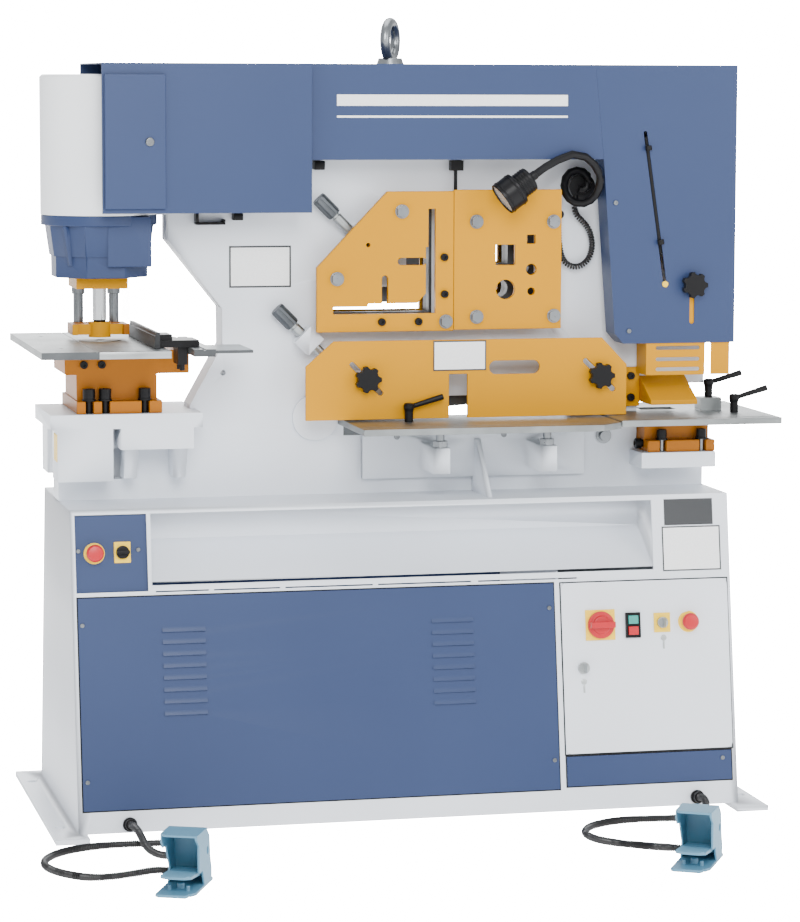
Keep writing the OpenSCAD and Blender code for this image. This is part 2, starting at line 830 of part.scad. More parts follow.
module stripper() {
    color(yellow_paint) difference() {
        union() {
            translate([-747, -60, plate_low]) cube([120, 140, head_low - plate_low - seat]);
            translate([punch_x, 0, nose_low]) cylinder(d = nose_d, h = 36);
            for (x = [-752, -632]) translate([x, -24, nose_low + 6]) cube([14, strut_y + 36, 25]);
            for (s = [-1, 1]) translate([punch_x, 0, nose_low + 6]) rotate(s > 0 ? 0 : 180)
                translate([0, -12, 0]) cube([60, 24, 25]);
            translate([-752, strut_y - 12, nose_low + 6]) cube([134, 24, 25]);
            for (x = strut_x) translate([x, strut_y, nose_low + 20]) {
                cylinder(d = 24, h = plate_low - nose_low - 10);
                translate([0, 0, plate_low - nose_low - 38]) cylinder(d = 31, h = 19);
            }
        }
        translate([punch_x, 0, nose_low - 1]) cylinder(d = ram_d + 6, h = 60);
        translate([punch_x, 0, plate_low - 1]) cylinder(d = ram_d + 3, h = 60);
    }
}

module clear_guards() {
    color("#dfe8ea", 0.5) {
        translate([-797, -50, 1155]) cube([guard_t, 100, head_low - 1155 - seat]);
        translate([-627 + seat, -80, 1160]) cube([guard_t, 130, head_low - 1160 - 2]);
    }
}

table_top = 1112;
bolster_top = table_top - table_t;

module punch_die() {
    color(bare_steel) translate([punch_x, 0, bolster_top + seat]) difference() {
        cylinder(d = die_d, h = table_t + 1);
        translate([0, 0, -1]) cylinder(d = punch_d + 2 * punch_clear, h = table_t + 4);
    }
}

module punch_bolster() {
    color(orange_paint) difference() {
        union() {
            translate([-781, -100, 1040]) cube([291, 200, bolster_top - 1040]);
            translate([-754, -100, pedestal_z + seat]) cube([188, 200, 1050 - pedestal_z]);
            translate([-758, -132, pedestal_z + seat]) cube([199, 264, flange_h]);
        }
        translate([punch_x, 0, 940]) cylinder(d = 44, h = 200);
        for (x = bolster_bolt_x) for (s = [0, 1]) mirror([0, s, 0]) open_slot(x, bolster_bolt_y, bolster_bolt_d + 2, 940);
    }
}

bolster_bolt_x = [-728, -690, -598];
bolster_bolt_y = -117;
bolster_bolt_d = 16;
flange_h = 29;

// A slot in a flange, open to the front
module open_slot(x, y, d, z) {
    translate([0, 0, z]) linear_extrude(60) slot_2d([x, y], [x, y - 60], d);
}

module hex_bolt(d, head, length) {
    rotate(30) cylinder(d = d * 1.85, h = head, $fn = 6);
    translate([0, 0, -1]) cylinder(d = d * 2.1, h = 2);
    translate([0, 0, -length]) cylinder(d = d, h = length + 1);
}

// A socket screw with a tall head on its collar, in a flange of height h
module tall_screw(d, h) {
    translate([0, 0, seat]) cylinder(d = d, h = h + 4);
    translate([0, 0, h + 2 * seat]) {
        cylinder(d = 2 * d, h = 4);
        difference() {
            cylinder(d = 1.75 * d, h = 4 + 1.5 * d);
            translate([0, 0, 4 + 0.75 * d]) cylinder(d = d, h = d, $fn = 6);
        }
    }
}

module hex_bolts() {
    color(bare_steel) {
        for (b = concat(angle_bolts, bar_bolts))
            translate([b[0], shear_face_y - 1 - seat, b[1]]) rotate([90, 0, 0]) hex_bolt(16, 11, 35);
        for (x = bolster_bolt_x) for (s = [-1, 1]) translate([x, s * bolster_bolt_y, pedestal_z])
            tall_screw(bolster_bolt_d, flange_h);
        for (x = notch_bolt_x) for (s = [-1, 1]) translate([x, s * notch_bolt_y, mouth[1]])
            tall_screw(notch_bolt_d, notch_flange_h);
        for (x = [92, 353]) translate([x, -frame_y - 140, 862 + seat]) {
            cylinder(d = 20, h = flat_table_z - flat_table_t - 862 - 2 * seat);
            rotate(10) cylinder(d = 38, h = 15, $fn = 6);
        }
        translate([534, -frame_y - 1 - seat, 866]) rotate([90, 0, 0]) {
            cylinder(d = 38, h = 4);
            translate([0, 0, -1]) cylinder(d = 34, h = 3);
            translate([0, 0, 3]) cylinder(d = 24, h = 12);
        }
    }
}

// Punch table with its scale rail

table_x = -865;
table_y = -345;
rail_x = [-515, -465];

module scale_rail() {
    color(bare_steel) difference() {
        union() {
            translate([rail_x[0], -316, bolster_top + seat]) cube([50, 400, table_t - seat]);
            translate([rail_x[1] - 1, -300, table_top - 11]) cube([90, 170, 7]);
        }
        translate([rail_x[0] + 22, -317, table_top - 3]) cube([6, 402, 10]);
    }
}

module punch_table() {
    color(bare_steel) difference() {
        translate([table_x, table_y, bolster_top + seat]) cube([table_w, table_l, table_t - seat]);
        translate([punch_x, 0, 1000]) cylinder(d = die_d + 2 * seat, h = 200, $fn = 96);
        translate([table_x + 124, table_y - 1, table_top - 2]) cube([1.5, table_l + 2, 4]);
        for (y = [-180, 180]) translate([table_x + 60, table_y + table_l / 2 + y, 1000]) cylinder(d = 11, h = 200);
    }
}

fence_x = -600;

module table_fence() {
    low = table_top + seat;
    color(bare_steel) difference() {
        translate([fence_x, -286, low]) cube([fence_t, fence_l, fence_h]);
        translate([fence_x - 1, -287, low + fence_h - 8]) cube([4, fence_l + 2, 9]);
    }
    color(black_plastic) {
        translate([fence_x + fence_t - 0.5, -250, low]) cube([rail_x[0] - fence_x - fence_t + 24, 96, 16]);
        translate([fence_x + fence_t - 0.5, -240, low]) cube([36, 76, fence_h - 8]);
        translate([rail_x[0] - 24, -235, 1071]) cube([23, 66, table_top - 1071 + 8]);
        for (y = [-222, -182]) translate([rail_x[0] - 12, y, 1057]) cylinder(d = 12, h = 20);
    }
}

// Covers

left_cover_x = [-705, -218];
left_cover_z = machine_h - 342;
cover_edge_z = machine_h - 222;
seam_top = 473;
seam_low = 495;
cover_door_x = [-700, -560];
cover_door_z = [left_cover_z + 10, machine_h - 26];
cover_front = -cover_d / 2;

module left_cover() {
    depth = left_cover_y + cover_d / 2;
    color(blue_paint) difference() {
        translate([left_cover_x[0], -left_cover_y, left_cover_z])
            cube([left_cover_x[1] - left_cover_x[0], depth, machine_h - left_cover_z]);
        translate([left_cover_x[0] - 1, -left_cover_y + cover_t, left_cover_z - 1])
            cube([left_cover_x[1] - left_cover_x[0] - cover_t + 1, depth - 2 * cover_t, roof_z - left_cover_z + 1]);
        translate([left_cover_x[1] - cover_t - 1, -frame_y - 60, left_cover_z - 1])
            cube([cover_t + 2, 2 * frame_y + 120, roof_z - left_cover_z + 1]);
        translate([cover_door_x[0] + 10, -left_cover_y - 1, cover_door_z[0] + 10])
            cube([cover_door_x[1] - cover_door_x[0] - 20, cover_t + 2, cover_door_z[1] - cover_door_z[0] - 20]);
    }
}

module cover_door() {
    w = cover_door_x[1] - cover_door_x[0];
    h = cover_door_z[1] - cover_door_z[0];
    color(blue_paint) translate([cover_door_x[0], -left_cover_y - seat, cover_door_z[0]]) difference() {
        union() {
            translate([0, -cover_door_out, 0]) cube([w, cover_door_out, h]);
            translate([103, -cover_door_out + 1, 153]) rotate([90, 0, 0]) cylinder(d = 20, h = 6);
        }
        translate([2, -cover_door_out + 2, 2]) cube([w - 4, cover_door_out, h - 4]);
    }
}

module beam_cover() {
    color(blue_paint) difference() {
        standing(cover_front, -cover_front)
            polygon([[left_cover_x[1] + seat, cover_edge_z], [seam_low - seat, cover_edge_z], [seam_top - seat, machine_h],
                [left_cover_x[1] + seat, machine_h]]);
        standing(cover_front + cover_t, -cover_front - cover_t)
            polygon([[left_cover_x[1] - 1, cover_edge_z - 1], [seam_low + 2, cover_edge_z - 1], [seam_top + 2, roof_z],
                [left_cover_x[1] - 1, roof_z]]);
        translate([eye_at[0], 0, roof_z - 1]) cylinder(d = 32, h = cover_t + 2);
    }
}

cover_right = 825;
cover_low = 1097;
stroke_slot = [[597, machine_h - 160], [650, cover_low + 141]];
stroke_l = norm(stroke_slot[1] - stroke_slot[0]);
stroke_dir = (stroke_slot[1] - stroke_slot[0]) / stroke_l;
slot_w = 9;
knob_slot_x = 718;
knob_slot_z = [1148, 1248];
notch_knob_z = 1236;
notch_stud_d = 10;

module right_outline(t) {
    polygon([
        [seam_top + t, machine_h - t], [cover_right - t, machine_h - t], [cover_right - t, cover_low - (t > 0 ? 1 : 0)],
        [548 + t, cover_low - (t > 0 ? 1 : 0)], [526 + t, cover_low + 24], [seam_low + t, cover_edge_z + 1]
    ]);
}

module right_cover() {
    color(blue_paint) difference() {
        standing(cover_front, -cover_front) right_outline(0);
        standing(cover_front + cover_t, -cover_front - cover_t) right_outline(cover_t);
        translate([seam_top - 10, cover_front + cover_t, cover_edge_z + 1]) cube([40, cover_d - 2 * cover_t, roof_z - cover_edge_z - 1]);
        translate([seam_top - 10, -frame_y - 40, cover_low - 10]) cube([90, 2 * frame_y + 80, 500]);
        standing(cover_front - 1, cover_front + cover_t + 1) {
            slot_2d(stroke_slot[0], stroke_slot[1], slot_w);
            slot_2d([knob_slot_x, knob_slot_z[0]], [knob_slot_x, knob_slot_z[1]], notch_stud_d + 2);
        }
    }
}

module along_stroke(s) {
    place = stroke_slot[0] + s * stroke_dir;
    translate([place[0], cover_front + cover_t / 2, place[1]]) rotate([0, atan2(stroke_dir[0], stroke_dir[1]), 0])
        children();
}

module stroke_rod() {
    color(bare_steel) {
        along_stroke(10) cylinder(d = slot_w - 2 * seat, h = 0.7716 * stroke_l);
        for (s = [0.0827, 0.7027]) along_stroke(s * stroke_l) translate([0, -11, 0]) cylinder(d = 16, h = 12);
        for (s = [0.0827, 0.7027]) along_stroke(s * stroke_l) translate([-4, -11, 2]) cube([8, 30, 8]);
    }
}

eye_at = [12, 0];

module eyebolt() {
    mean_r = (eye_d - eye_wire) / 2;
    color(bare_steel) translate([eye_at[0], 0, machine_h]) rotate(60) {
        translate([0, 0, seat]) cylinder(d1 = 65, d2 = 56, h = 14);
        translate([0, 0, -36]) cylinder(d = 30, h = 40);
        translate([0, 0, 2 + eye_d / 2]) rotate([90, 0, 0]) rotate_extrude() translate([mean_r, 0]) circle(d = eye_wire, $fn = 24);
    }
}

// Yellow plates of the shears

plate_split = 141;

module shear_plate_holes(list) {
    for (b = list) translate([b[0], b[1]]) circle(d = 18);
}

module angle_shear_plate() {
    color(yellow_paint) standing(shear_face_y, shear_back_y) difference() {
        polygon([[-189, 1131], [plate_split - 0.5, 1131], [plate_split - 0.5, 1460], [-20, 1460], [-189, 1283]]);
        translate([-150, 1173]) square([247, 17]);
        translate([-67, 1173]) square([164, 24]);
        translate([79, 1173]) square([18, 246]);
        translate([73, 1173]) square([24, 156]);
        polygon([[45, 1190], [80, 1190], [80, 1225], [73, 1219], [52, 1197]]);
        slot_2d([13.5, 1295.5], [66.5, 1295.5], 17);
        slot_2d([-25.5, 1202.5], [-25.5, 1255.5], 15);
        translate([-66, 1335]) circle(d = 10);
        shear_plate_holes(angle_bolts);
    }
}

module bar_shear_plate() {
    color(yellow_paint) standing(shear_face_y, shear_back_y) difference() {
        translate([plate_split + 0.5, 1133]) square([405 - plate_split - 0.5, 330]);
        bar_openings();
        shear_plate_holes(bar_bolts);
    }
}

module spindle(length) {
    cylinder(d = grip_d, h = 56);
    for (a = [0 : 30 : 330]) rotate(a) translate([grip_d / 2 - 1, -1.5, 3]) cube([2, 3, 50]);
    translate([0, 0, 55]) cylinder(d = spindle_d - 4, h = 12);
    translate([0, 0, 62]) cylinder(d = spindle_d, h = length - 62);
    translate([0, 0, length - 1]) cylinder(d1 = spindle_d, d2 = spindle_d - 8, h = 9);
}

module upper_spindle() {
    color(bare_steel) along_spindle(upper_grip) spindle(205);
}

module lower_spindle() {
    color(bare_steel) along_spindle(lower_grip) spindle(180);
}

guard_slot = [34, 34];

module flat_shear_guard() {
    color(yellow_paint) standing(guard_face_y, guard_back_y) difference() {
        polygon([[-223, 927], [559, 927], [559, 1047], [497, 1112], [-156, 1112], [-223, 1054]]);
        for (s = stud_places) slot_2d(s + [-guard_slot[0], guard_slot[1]], s + [guard_slot[0], -guard_slot[1]], stud_d + 2 * seat);
        slot_2d([236, 1045], [328, 1045], 32);
        translate([122, 920]) square([45, 111]);
    }
}

module star(d, h) {
    lobes = 7;
    difference() {
        cylinder(d = d, h = h);
        for (i = [0 : lobes - 1]) rotate((i + 0.5) * 360 / lobes) translate([d * 0.55, 0, -1])
            cylinder(d = d * 0.31, h = h + 2, $fn = 24);
    }
}

module star_knob(bore) {
    difference() {
        union() {
            cylinder(d = 28, h = 12);
            translate([0, 0, 10]) star(star_d, 18);
        }
        translate([0, 0, -1]) cylinder(d = bore + 2 * run, h = 24);
    }
}

module guard_knob(place) {
    color(black_plastic) translate([place[0], guard_face_y - seat, place[1]]) rotate([90, 0, 0]) star_knob(stud_d);
}

module guard_knob_left() {
    guard_knob(stud_places[0]);
}

module guard_knob_right() {
    guard_knob(stud_places[1]);
}

// Flat shear table and its clamp lever

flat_table_x = pivot[0] + pivot_cap_d / 2 + slack;
flat_table_y = -330;
table_lever_at = [20, -169];
lever_stud_d = 12;

module flat_table() {
    right = flat_table_x + flat_table_l;
    color(bare_steel) difference() {
        translate([0, 0, flat_table_z - flat_table_t]) linear_extrude(flat_table_t)
            polygon([[flat_table_x, flat_table_y], [right - 58, flat_table_y], [right, flat_table_y + 52],
                [right, -frame_y - seat], [flat_table_x, -frame_y - seat]]);
        translate([table_lever_at[0], table_lever_at[1], flat_table_z - 40]) cylinder(d = lever_stud_d + 2 * run, h = 60);
        translate([flat_table_x - 1, -290, flat_table_z - 2]) cube([flat_table_l - 60, 5, 4]);
        for (x = [40, 440]) translate([flat_table_x + x, -80, 800]) cylinder(d = 12, h = 200);
    }
}

// A clamp lever standing on its stud: hub and a rising arm that widens to its flat end
module clamp_lever(height) {
    translate([0, 0, -12]) cylinder(d = lever_stud_d, h = 14);
    cylinder(d = 20, h = height - 20);
    translate([0, 0, height - 20.5]) cylinder(d1 = 20, d2 = 25, h = 8.5);
    translate([0, 0, height - 12]) cylinder(d = 25, h = 8);
    translate([0, 0, height - 4.5]) cylinder(d1 = 25, d2 = 19, h = 4.5);
    translate([0, 0, height - 10]) rotate([0, 74, 0]) cylinder(d1 = 11, d2 = 14.5, h = lever_l);
}

module table_lever() {
    color(black_plastic) translate([table_lever_at[0], table_lever_at[1], flat_table_z + seat]) clamp_lever(44);
}

// Notcher

notch_guard_y = cover_front + cover_t + seat;
notch_guard_x = [606, 815];
notch_guard_low = 1020;

module notch_guard() {
    color(yellow_paint) {
        difference() {
            translate([notch_guard_x[0], notch_guard_y, notch_guard_low])
                cube([notch_guard_x[1] - notch_guard_x[0], 3, 112]);
            standing(notch_guard_y - 1, notch_guard_y + 4) {
                for (z = [1034, 1058, 1085]) slot_2d([634.5, z], [735.5, z], 9);
                slot_2d([760.5, notch_guard_low + 71.5], [760.5, notch_guard_low - 10], 15);
            }
        }
        translate([notch_guard_x[0], notch_guard_y, notch_guard_low]) cube([3, 78, 100]);
        translate([notch_guard_x[1] - 3, notch_guard_y, notch_guard_low]) cube([3, 60, 100]);
        translate([knob_slot_x - 18, notch_guard_y, notch_guard_low + 100]) cube([36, 3, 160]);
        bar_y(knob_slot_x, notch_knob_z, notch_stud_d, cover_front - 22, notch_guard_y + 1);
    }
}

module notch_guard_knob() {
    color(black_plastic) translate([knob_slot_x, cover_front - seat, notch_knob_z]) rotate([90, 0, 0]) star_knob(notch_stud_d);
}

module notch_hood() {
    x = [621, 738];
    wall = 10;
    back = -frame_y - seat;
    front = -149;
    color(yellow_paint) difference() {
        along_x(x[0], x[1]) polygon([[back, 948], [front, 948], [front, 959], [back - 4, 1010], [back, 1010]]);
        along_x(x[0] + wall, x[1] - wall) polygon([[back - 12, 940], [front + wall, 940], [front + wall, 954], [back - 12, 994]]);
    }
}

notch_bolt_x = [658, 758];
notch_bolt_y = -120;
notch_bolt_d = 14;
notch_flange_h = 28;
bolster_left = 620;

module notch_bolster() {
    low = mouth[1] + seat;
    top = notch_table_z - notch_table_t - seat;
    color(orange_paint) difference() {
        union() {
            translate([bolster_left, -104, low]) cube([162, 208, top - low]);
            translate([bolster_left, -134, low]) cube([169, 268, notch_flange_h]);
        }
        translate([nose_x[0] - 4, -28, low - 1]) cube([nose_x[1] - nose_x[0] + 8, 56, 200]);
        for (x = notch_bolt_x) for (s = [0, 1]) mirror([0, s, 0]) open_slot(x, notch_bolt_y, notch_bolt_d + 2, low - 1);
    }
}

notch_table_x = [511, 908];
notch_table_y = -275;
stop_block = [770, -78, 53, 46, 31];
lever_front_at = [837, -131];
lever_back_at = [797, -55];

module notch_table() {
    back = notch_table_y + notch_table_l;
    low = notch_table_z - notch_table_t;
    color(bare_steel) difference() {
        union() {
            translate([0, 0, low]) linear_extrude(notch_table_t) difference() {
                translate([notch_table_x[0], notch_table_y])
                    square([notch_table_x[1] - notch_table_x[0], notch_table_l]);
                translate([notch_table_x[0] - 1, -frame_y - slack]) square([mouth[0] - notch_table_x[0] + 1, 2 * (frame_y + slack)]);
                translate([nose_x[0] - 4, -28]) square([nose_x[1] - nose_x[0] + 8, 56]);
            }
            translate([stop_block[0], stop_block[1], low]) cube([stop_block[2], stop_block[3], notch_table_t + stop_block[4]]);
        }
        translate([lever_front_at[0], lever_front_at[1], low - 1]) cylinder(d = lever_stud_d + 2 * run, h = 60);
        translate([lever_back_at[0], lever_back_at[1], low - 1]) cylinder(d = lever_stud_d + 2 * run, h = 60);
        for (y = [-245, 110]) translate([notch_table_x[0] + 100, y, notch_table_z - 2]) cube([280, 5, 4]);
    }
}

module notch_lever_front() {
    color(black_plastic) translate([lever_front_at[0], lever_front_at[1], notch_table_z + seat]) clamp_lever(44);
}

module notch_lever_back() {
    color(black_plastic) translate([lever_back_at[0], lever_back_at[1], notch_table_z + stop_block[4] + seat]) clamp_lever(44);
}

// Foot pedals

left_pedal_at = [-633, -844, -24];
right_pedal_at = [510, -868, -30];
pedal_pin_y = 52;
pedal_pin_z = 26;
pedal_pin_d = 8;

module at_pedal(place) {
    translate([place[0], place[1], 0]) rotate(place[2]) children();
}

module pedal_shell_side() {
    polygon([
        [-pedal_l * 0.16, 40], [-pedal_l * 0.16, pedal_h - 28], [-pedal_l * 0.28, pedal_h - 10], [-pedal_l * 0.28, pedal_h],
        [pedal_l * 0.2, pedal_h], [pedal_l * 0.34, pedal_h - 22], [pedal_l * 0.38, pedal_h * 0.45],
        [pedal_l * 0.44, 30], [pedal_l * 0.44, 4], [pedal_l * 0.1, 4], [0, 40]
    ]);
}

module pedal_housing() {
    wall = 5;
    color("#4f87a6") difference() {
        union() {
            linear_extrude(7) polygon([
                [-pedal_w / 2, -pedal_l / 2 + 8], [-pedal_w / 2 + 8, -pedal_l / 2], [pedal_w / 2 - 16, -pedal_l / 2],
                [pedal_w / 2, -pedal_l / 2 + 34], [pedal_w / 2, pedal_l / 2], [-pedal_w / 2, pedal_l / 2]
            ]);
            difference() {
                along_x(-pedal_w / 2, pedal_w / 2) pedal_shell_side();
                along_x(-pedal_w / 2 + wall, pedal_w / 2 - wall) polygon([
                    [-pedal_l, 3], [-pedal_l, pedal_h - wall], [pedal_l * 0.2 - 3, pedal_h - wall],
                    [pedal_l * 0.34 - wall, pedal_h - 22 - 2], [pedal_l * 0.38 - wall, pedal_h * 0.45],
                    [pedal_l * 0.44 - wall, 30], [pedal_l * 0.44 - wall, 3]
                ]);
                along_x(-pedal_w, -pedal_w / 2 + wall + 1) polygon([
                    [-pedal_l, 0], [-pedal_l, pedal_h - 34], [-pedal_l * 0.02, pedal_h - 34], [pedal_l * 0.1, pedal_h * 0.45],
                    [pedal_l * 0.16, 41], [pedal_l * 0.1, 0]
                ]);
                translate([0, pedal_l * 0.24, pedal_h * 0.6]) rotate([0, 90, 0]) cylinder(d = 16, h = pedal_w);
                translate([-pedal_w / 2, -pedal_l * 0.28, pedal_h - 30]) rotate(45) translate([-9, -9, 0]) cube([18, 18, 60]);
            }
            for (x = [-20, 20]) translate([x, -pedal_l * 0.24, 6]) cylinder(d = 8, h = 12);
            translate([0, -pedal_l * 0.14, 6]) cylinder(d = 16, h = 13);
            translate([-pedal_w / 2 + 1, pedal_pin_y, pedal_pin_z]) rotate([0, 90, 0]) cylinder(d = pedal_pin_d, h = pedal_w - 2);
        }
        for (y = [-pedal_l / 2 + 14, pedal_l / 2 - 14]) translate([pedal_w / 2 - 10, y, -1]) cylinder(d = 7, h = 10);
    }
}

module pedal_tread() {
    w = pedal_w - 16;
    color("#6ba3bb") difference() {
        union() {
            along_x(-w / 2, w / 2) polygon([
                [-pedal_l * 0.45, 38], [-pedal_l * 0.45, 44], [pedal_pin_y + 6, 33], [pedal_pin_y + 6, 18],
                [pedal_pin_y - 8, 18], [pedal_pin_y - 14, 26]
            ]);
            for (i = [0 : 6]) along_x(-w / 2, w / 2)
                translate([-pedal_l * 0.42 + i * 11, 43 - i * 0.9]) square([4, 2]);
        }
        translate([-w, pedal_pin_y, pedal_pin_z]) rotate([0, 90, 0]) cylinder(d = pedal_pin_d + 2 * run, h = 2 * w);
        for (x = [-w / 2, w / 2]) translate([x, -pedal_l * 0.45, 30]) rotate(45) translate([-9, -9, 0]) cube([18, 18, 30]);
    }
}

module left_pedal() {
    at_pedal(left_pedal_at) pedal_housing();
}

module left_pedal_plate() {
    at_pedal(left_pedal_at) pedal_tread();
}

module right_pedal() {
    at_pedal(right_pedal_at) pedal_housing();
}

module right_pedal_plate() {
    at_pedal(right_pedal_at) pedal_tread();
}

// Routes of the cords
conduit_z = conduit_d / 2;
left_route = [
    [-672, -359.8, 32.8], [-671.5, -384, 36], [-669, -415, 36], [-667, -445, 33], [-665, -475, 27], [-663, -505, 20],
    [-655, -535, 13], [-638, -562, 9], [-610, -578, 9], [-578, -573, 9], [-550, -552, 9], [-537, -520, 9],
    [-543, -487, 9], [-565, -462, 9], [-598, -450, 9], [-640, -447, 9], [-690, -445, 9], [-745, -446, 9],
    [-800, -460, 9], [-850, -492, 9], [-886, -540, 9], [-900, -592, 9], [-893, -645, 9], [-865, -697, 9],
    [-822, -736, 9], [-775, -752, 12], [-730, -757, 17], [-695, -756, 21], [-675, -757, 22],
    [-659.3, -761.9, 22], [-646, -767.9, 22]
];
right_route = [
    [687, -359.8, 32.8], [687, -384, 36], [686, -406, 29], [677, -425, 18], [657, -444, 11], [630, -454, 9],
    [590, -457, 9], [545, -453, 9], [500, -450, 9], [455, -455, 9], [412, -472, 9], [375, -500, 9],
    [351, -540, 9], [343, -585, 9], [355, -632, 9], [386, -672, 9], [425, -702, 9], [450, -735, 12],
    [460, -765, 17], [468, -788, 21], [482, -800.2, 22], [495.3, -807.9, 22]
];
curly_route = [
    [453, -62, 1424], [453, -62, 1411], [460, -62, 1397], [473, -62, 1384], [487, -62, 1366], [495, -62, 1342], [495, -62, 1316],
    [484, -62, 1291], [462, -62, 1277], [438, -62, 1281], [422, -62, 1300], [415, -62, 1330], [413, -62, 1360],
    [412, -62, 1390.7]
];
curly_d = 16;

// A tube swept along a route, with its section turned smoothly from point to point
function unit(v) = v / norm(v);
function route_dir(route, i) =
    unit(route[min(i + 1, len(route) - 1)] - route[max(i - 1, 0)]);
function side_of(dir) = let (flat = abs(dir[2]) > 0.95 ? cross(dir, [0, 1, 0]) : cross(dir, [0, 0, 1])) unit(flat);
function ring(route, i, r, sides) =
    let (dir = route_dir(route, i), a = side_of(dir), b = cross(a, dir))
    [for (k = [0 : sides - 1]) route[i] + r * (cos(k * 360 / sides) * a + sin(k * 360 / sides) * b)];

module tube(route, d, sides = 10) {
    n = len(route);
    rings = [for (i = [0 : n - 1]) each ring(route, i, d / 2, sides)];
    walls = [for (i = [0 : n - 2]) for (k = [0 : sides - 1])
        let (k2 = (k + 1) % sides) each [
            [i * sides + k, i * sides + k2, (i + 1) * sides + k2],
            [i * sides + k, (i + 1) * sides + k2, (i + 1) * sides + k]
        ]];
    start_cap = [for (k = [sides - 1 : -1 : 0]) k];
    end_cap = [for (k = [0 : sides - 1]) (n - 1) * sides + k];
    polyhedron(points = rings, faces = concat(walls, [start_cap, end_cap]));
}

module left_conduit() {
    color(black_plastic) tube(left_route, conduit_d);
}

module right_conduit() {
    color(black_plastic) tube(right_route, conduit_d);
}

module conduit_gland(x) {
    on_front() at_front([x, 29]) translate([0, 0, seat]) {
        cylinder(d = 33, h = 9);
        cylinder(d = 26, h = 24);
    }
}

module cable_glands() {
    color(black_plastic) {
        conduit_gland(-672);
        conduit_gland(687);
        bar_y(412, 1402, 22, -74, -frame_y - seat);
        translate([145, -frame_y - seat - 26, 1507]) cube([30, 26, 24]);
        translate([157, -frame_y - 20, 1445]) cylinder(d = 8, h = 70);
    }
}

// Work lamp: base on the frame, bendable arm in a spiral, two-step head
lamp_at = [470, 1467];
lamp_head_front = [240, 1442];
lamp_head_rear = [310, 1493];
lamp_y = -182;

lamp_route = [
    [306, lamp_y, 1490], [322, lamp_y, 1502], [346, -180, 1518], [376, -178, 1534], [412, -176, 1547], [445, -173, 1541],
    [467, -170, 1524], [480, -167, 1505], [485, -163, 1486], [484, -156, 1468], [479, -148, 1451], [469, -139, 1438],
    [454, -130, 1430], [437, -121, 1431], [424, -112, 1440], [416, -104, 1455], [415, -97, 1472], [420, -91, 1489],
    [432, -87, 1502], [449, -84, 1507], [466, -82, 1504], [478, -80, 1494], [482, -78, 1480], [478, -76, 1467],
    [468, -75, 1460], [458, -75, 1463]
];

module work_lamp() {
    head = lamp_head_rear - lamp_head_front;
    color(black_plastic) {
        tube(lamp_route, lamp_arm_d, 12);
        bar_y(lamp_at[0], lamp_at[1], 64, -66, -frame_y - seat);
        translate([curly_route[0][0], curly_route[0][1], curly_route[0][2] + seat]) cylinder(d = 14, h = 24);
        translate([lamp_head_front[0], lamp_y, lamp_head_front[1]])
            rotate([0, 90 - atan2(head[1], head[0]), 0]) rotate_extrude($fn = 40) polygon([
                [0, 6], [lamp_d / 2 - 3, 6], [lamp_d / 2 - 3, 0], [lamp_d / 2, 0], [lamp_d / 2, 46], [30, 49],
                [30, 83], [24, 86], [11, 86], [11, 100], [0, 100]
            ]);
    }
}

module lamp_cord() {
    color(black_plastic) tube(curly_route, curly_d);
}

base_cabinet();
cabinet_panels();
control_panel();
selector_knob();
panel_stop_button();
electrical_door();
control_gear();
main_switch_knob();
start_button();
stop_button();
switch_key();
door_stop_button();
door_lock();
main_frame();
pivot_pin();
shear_beam();
beam_blades();
fixed_blades();
punch_cylinder();
punch_head();
punch_ram();
stripper();
clear_guards();
punch_die();
punch_bolster();
hex_bolts();
punch_table();
scale_rail();
table_fence();
left_cover();
cover_door();
beam_cover();
right_cover();
stroke_rod();
eyebolt();
angle_shear_plate();
bar_shear_plate();
upper_spindle();
lower_spindle();
flat_shear_guard();
guard_knob_left();
guard_knob_right();
flat_table();
table_lever();
notch_guard();
notch_guard_knob();
notch_hood();
notch_bolster();
notch_table();
notch_lever_front();
notch_lever_back();
left_pedal();
left_pedal_plate();
right_pedal();
right_pedal_plate();
left_conduit();
right_conduit();
cable_glands();
work_lamp();
lamp_cord();
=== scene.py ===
"""Looks of the profile shearing machine: coated steel, blades, controls, cords and the studio around it."""

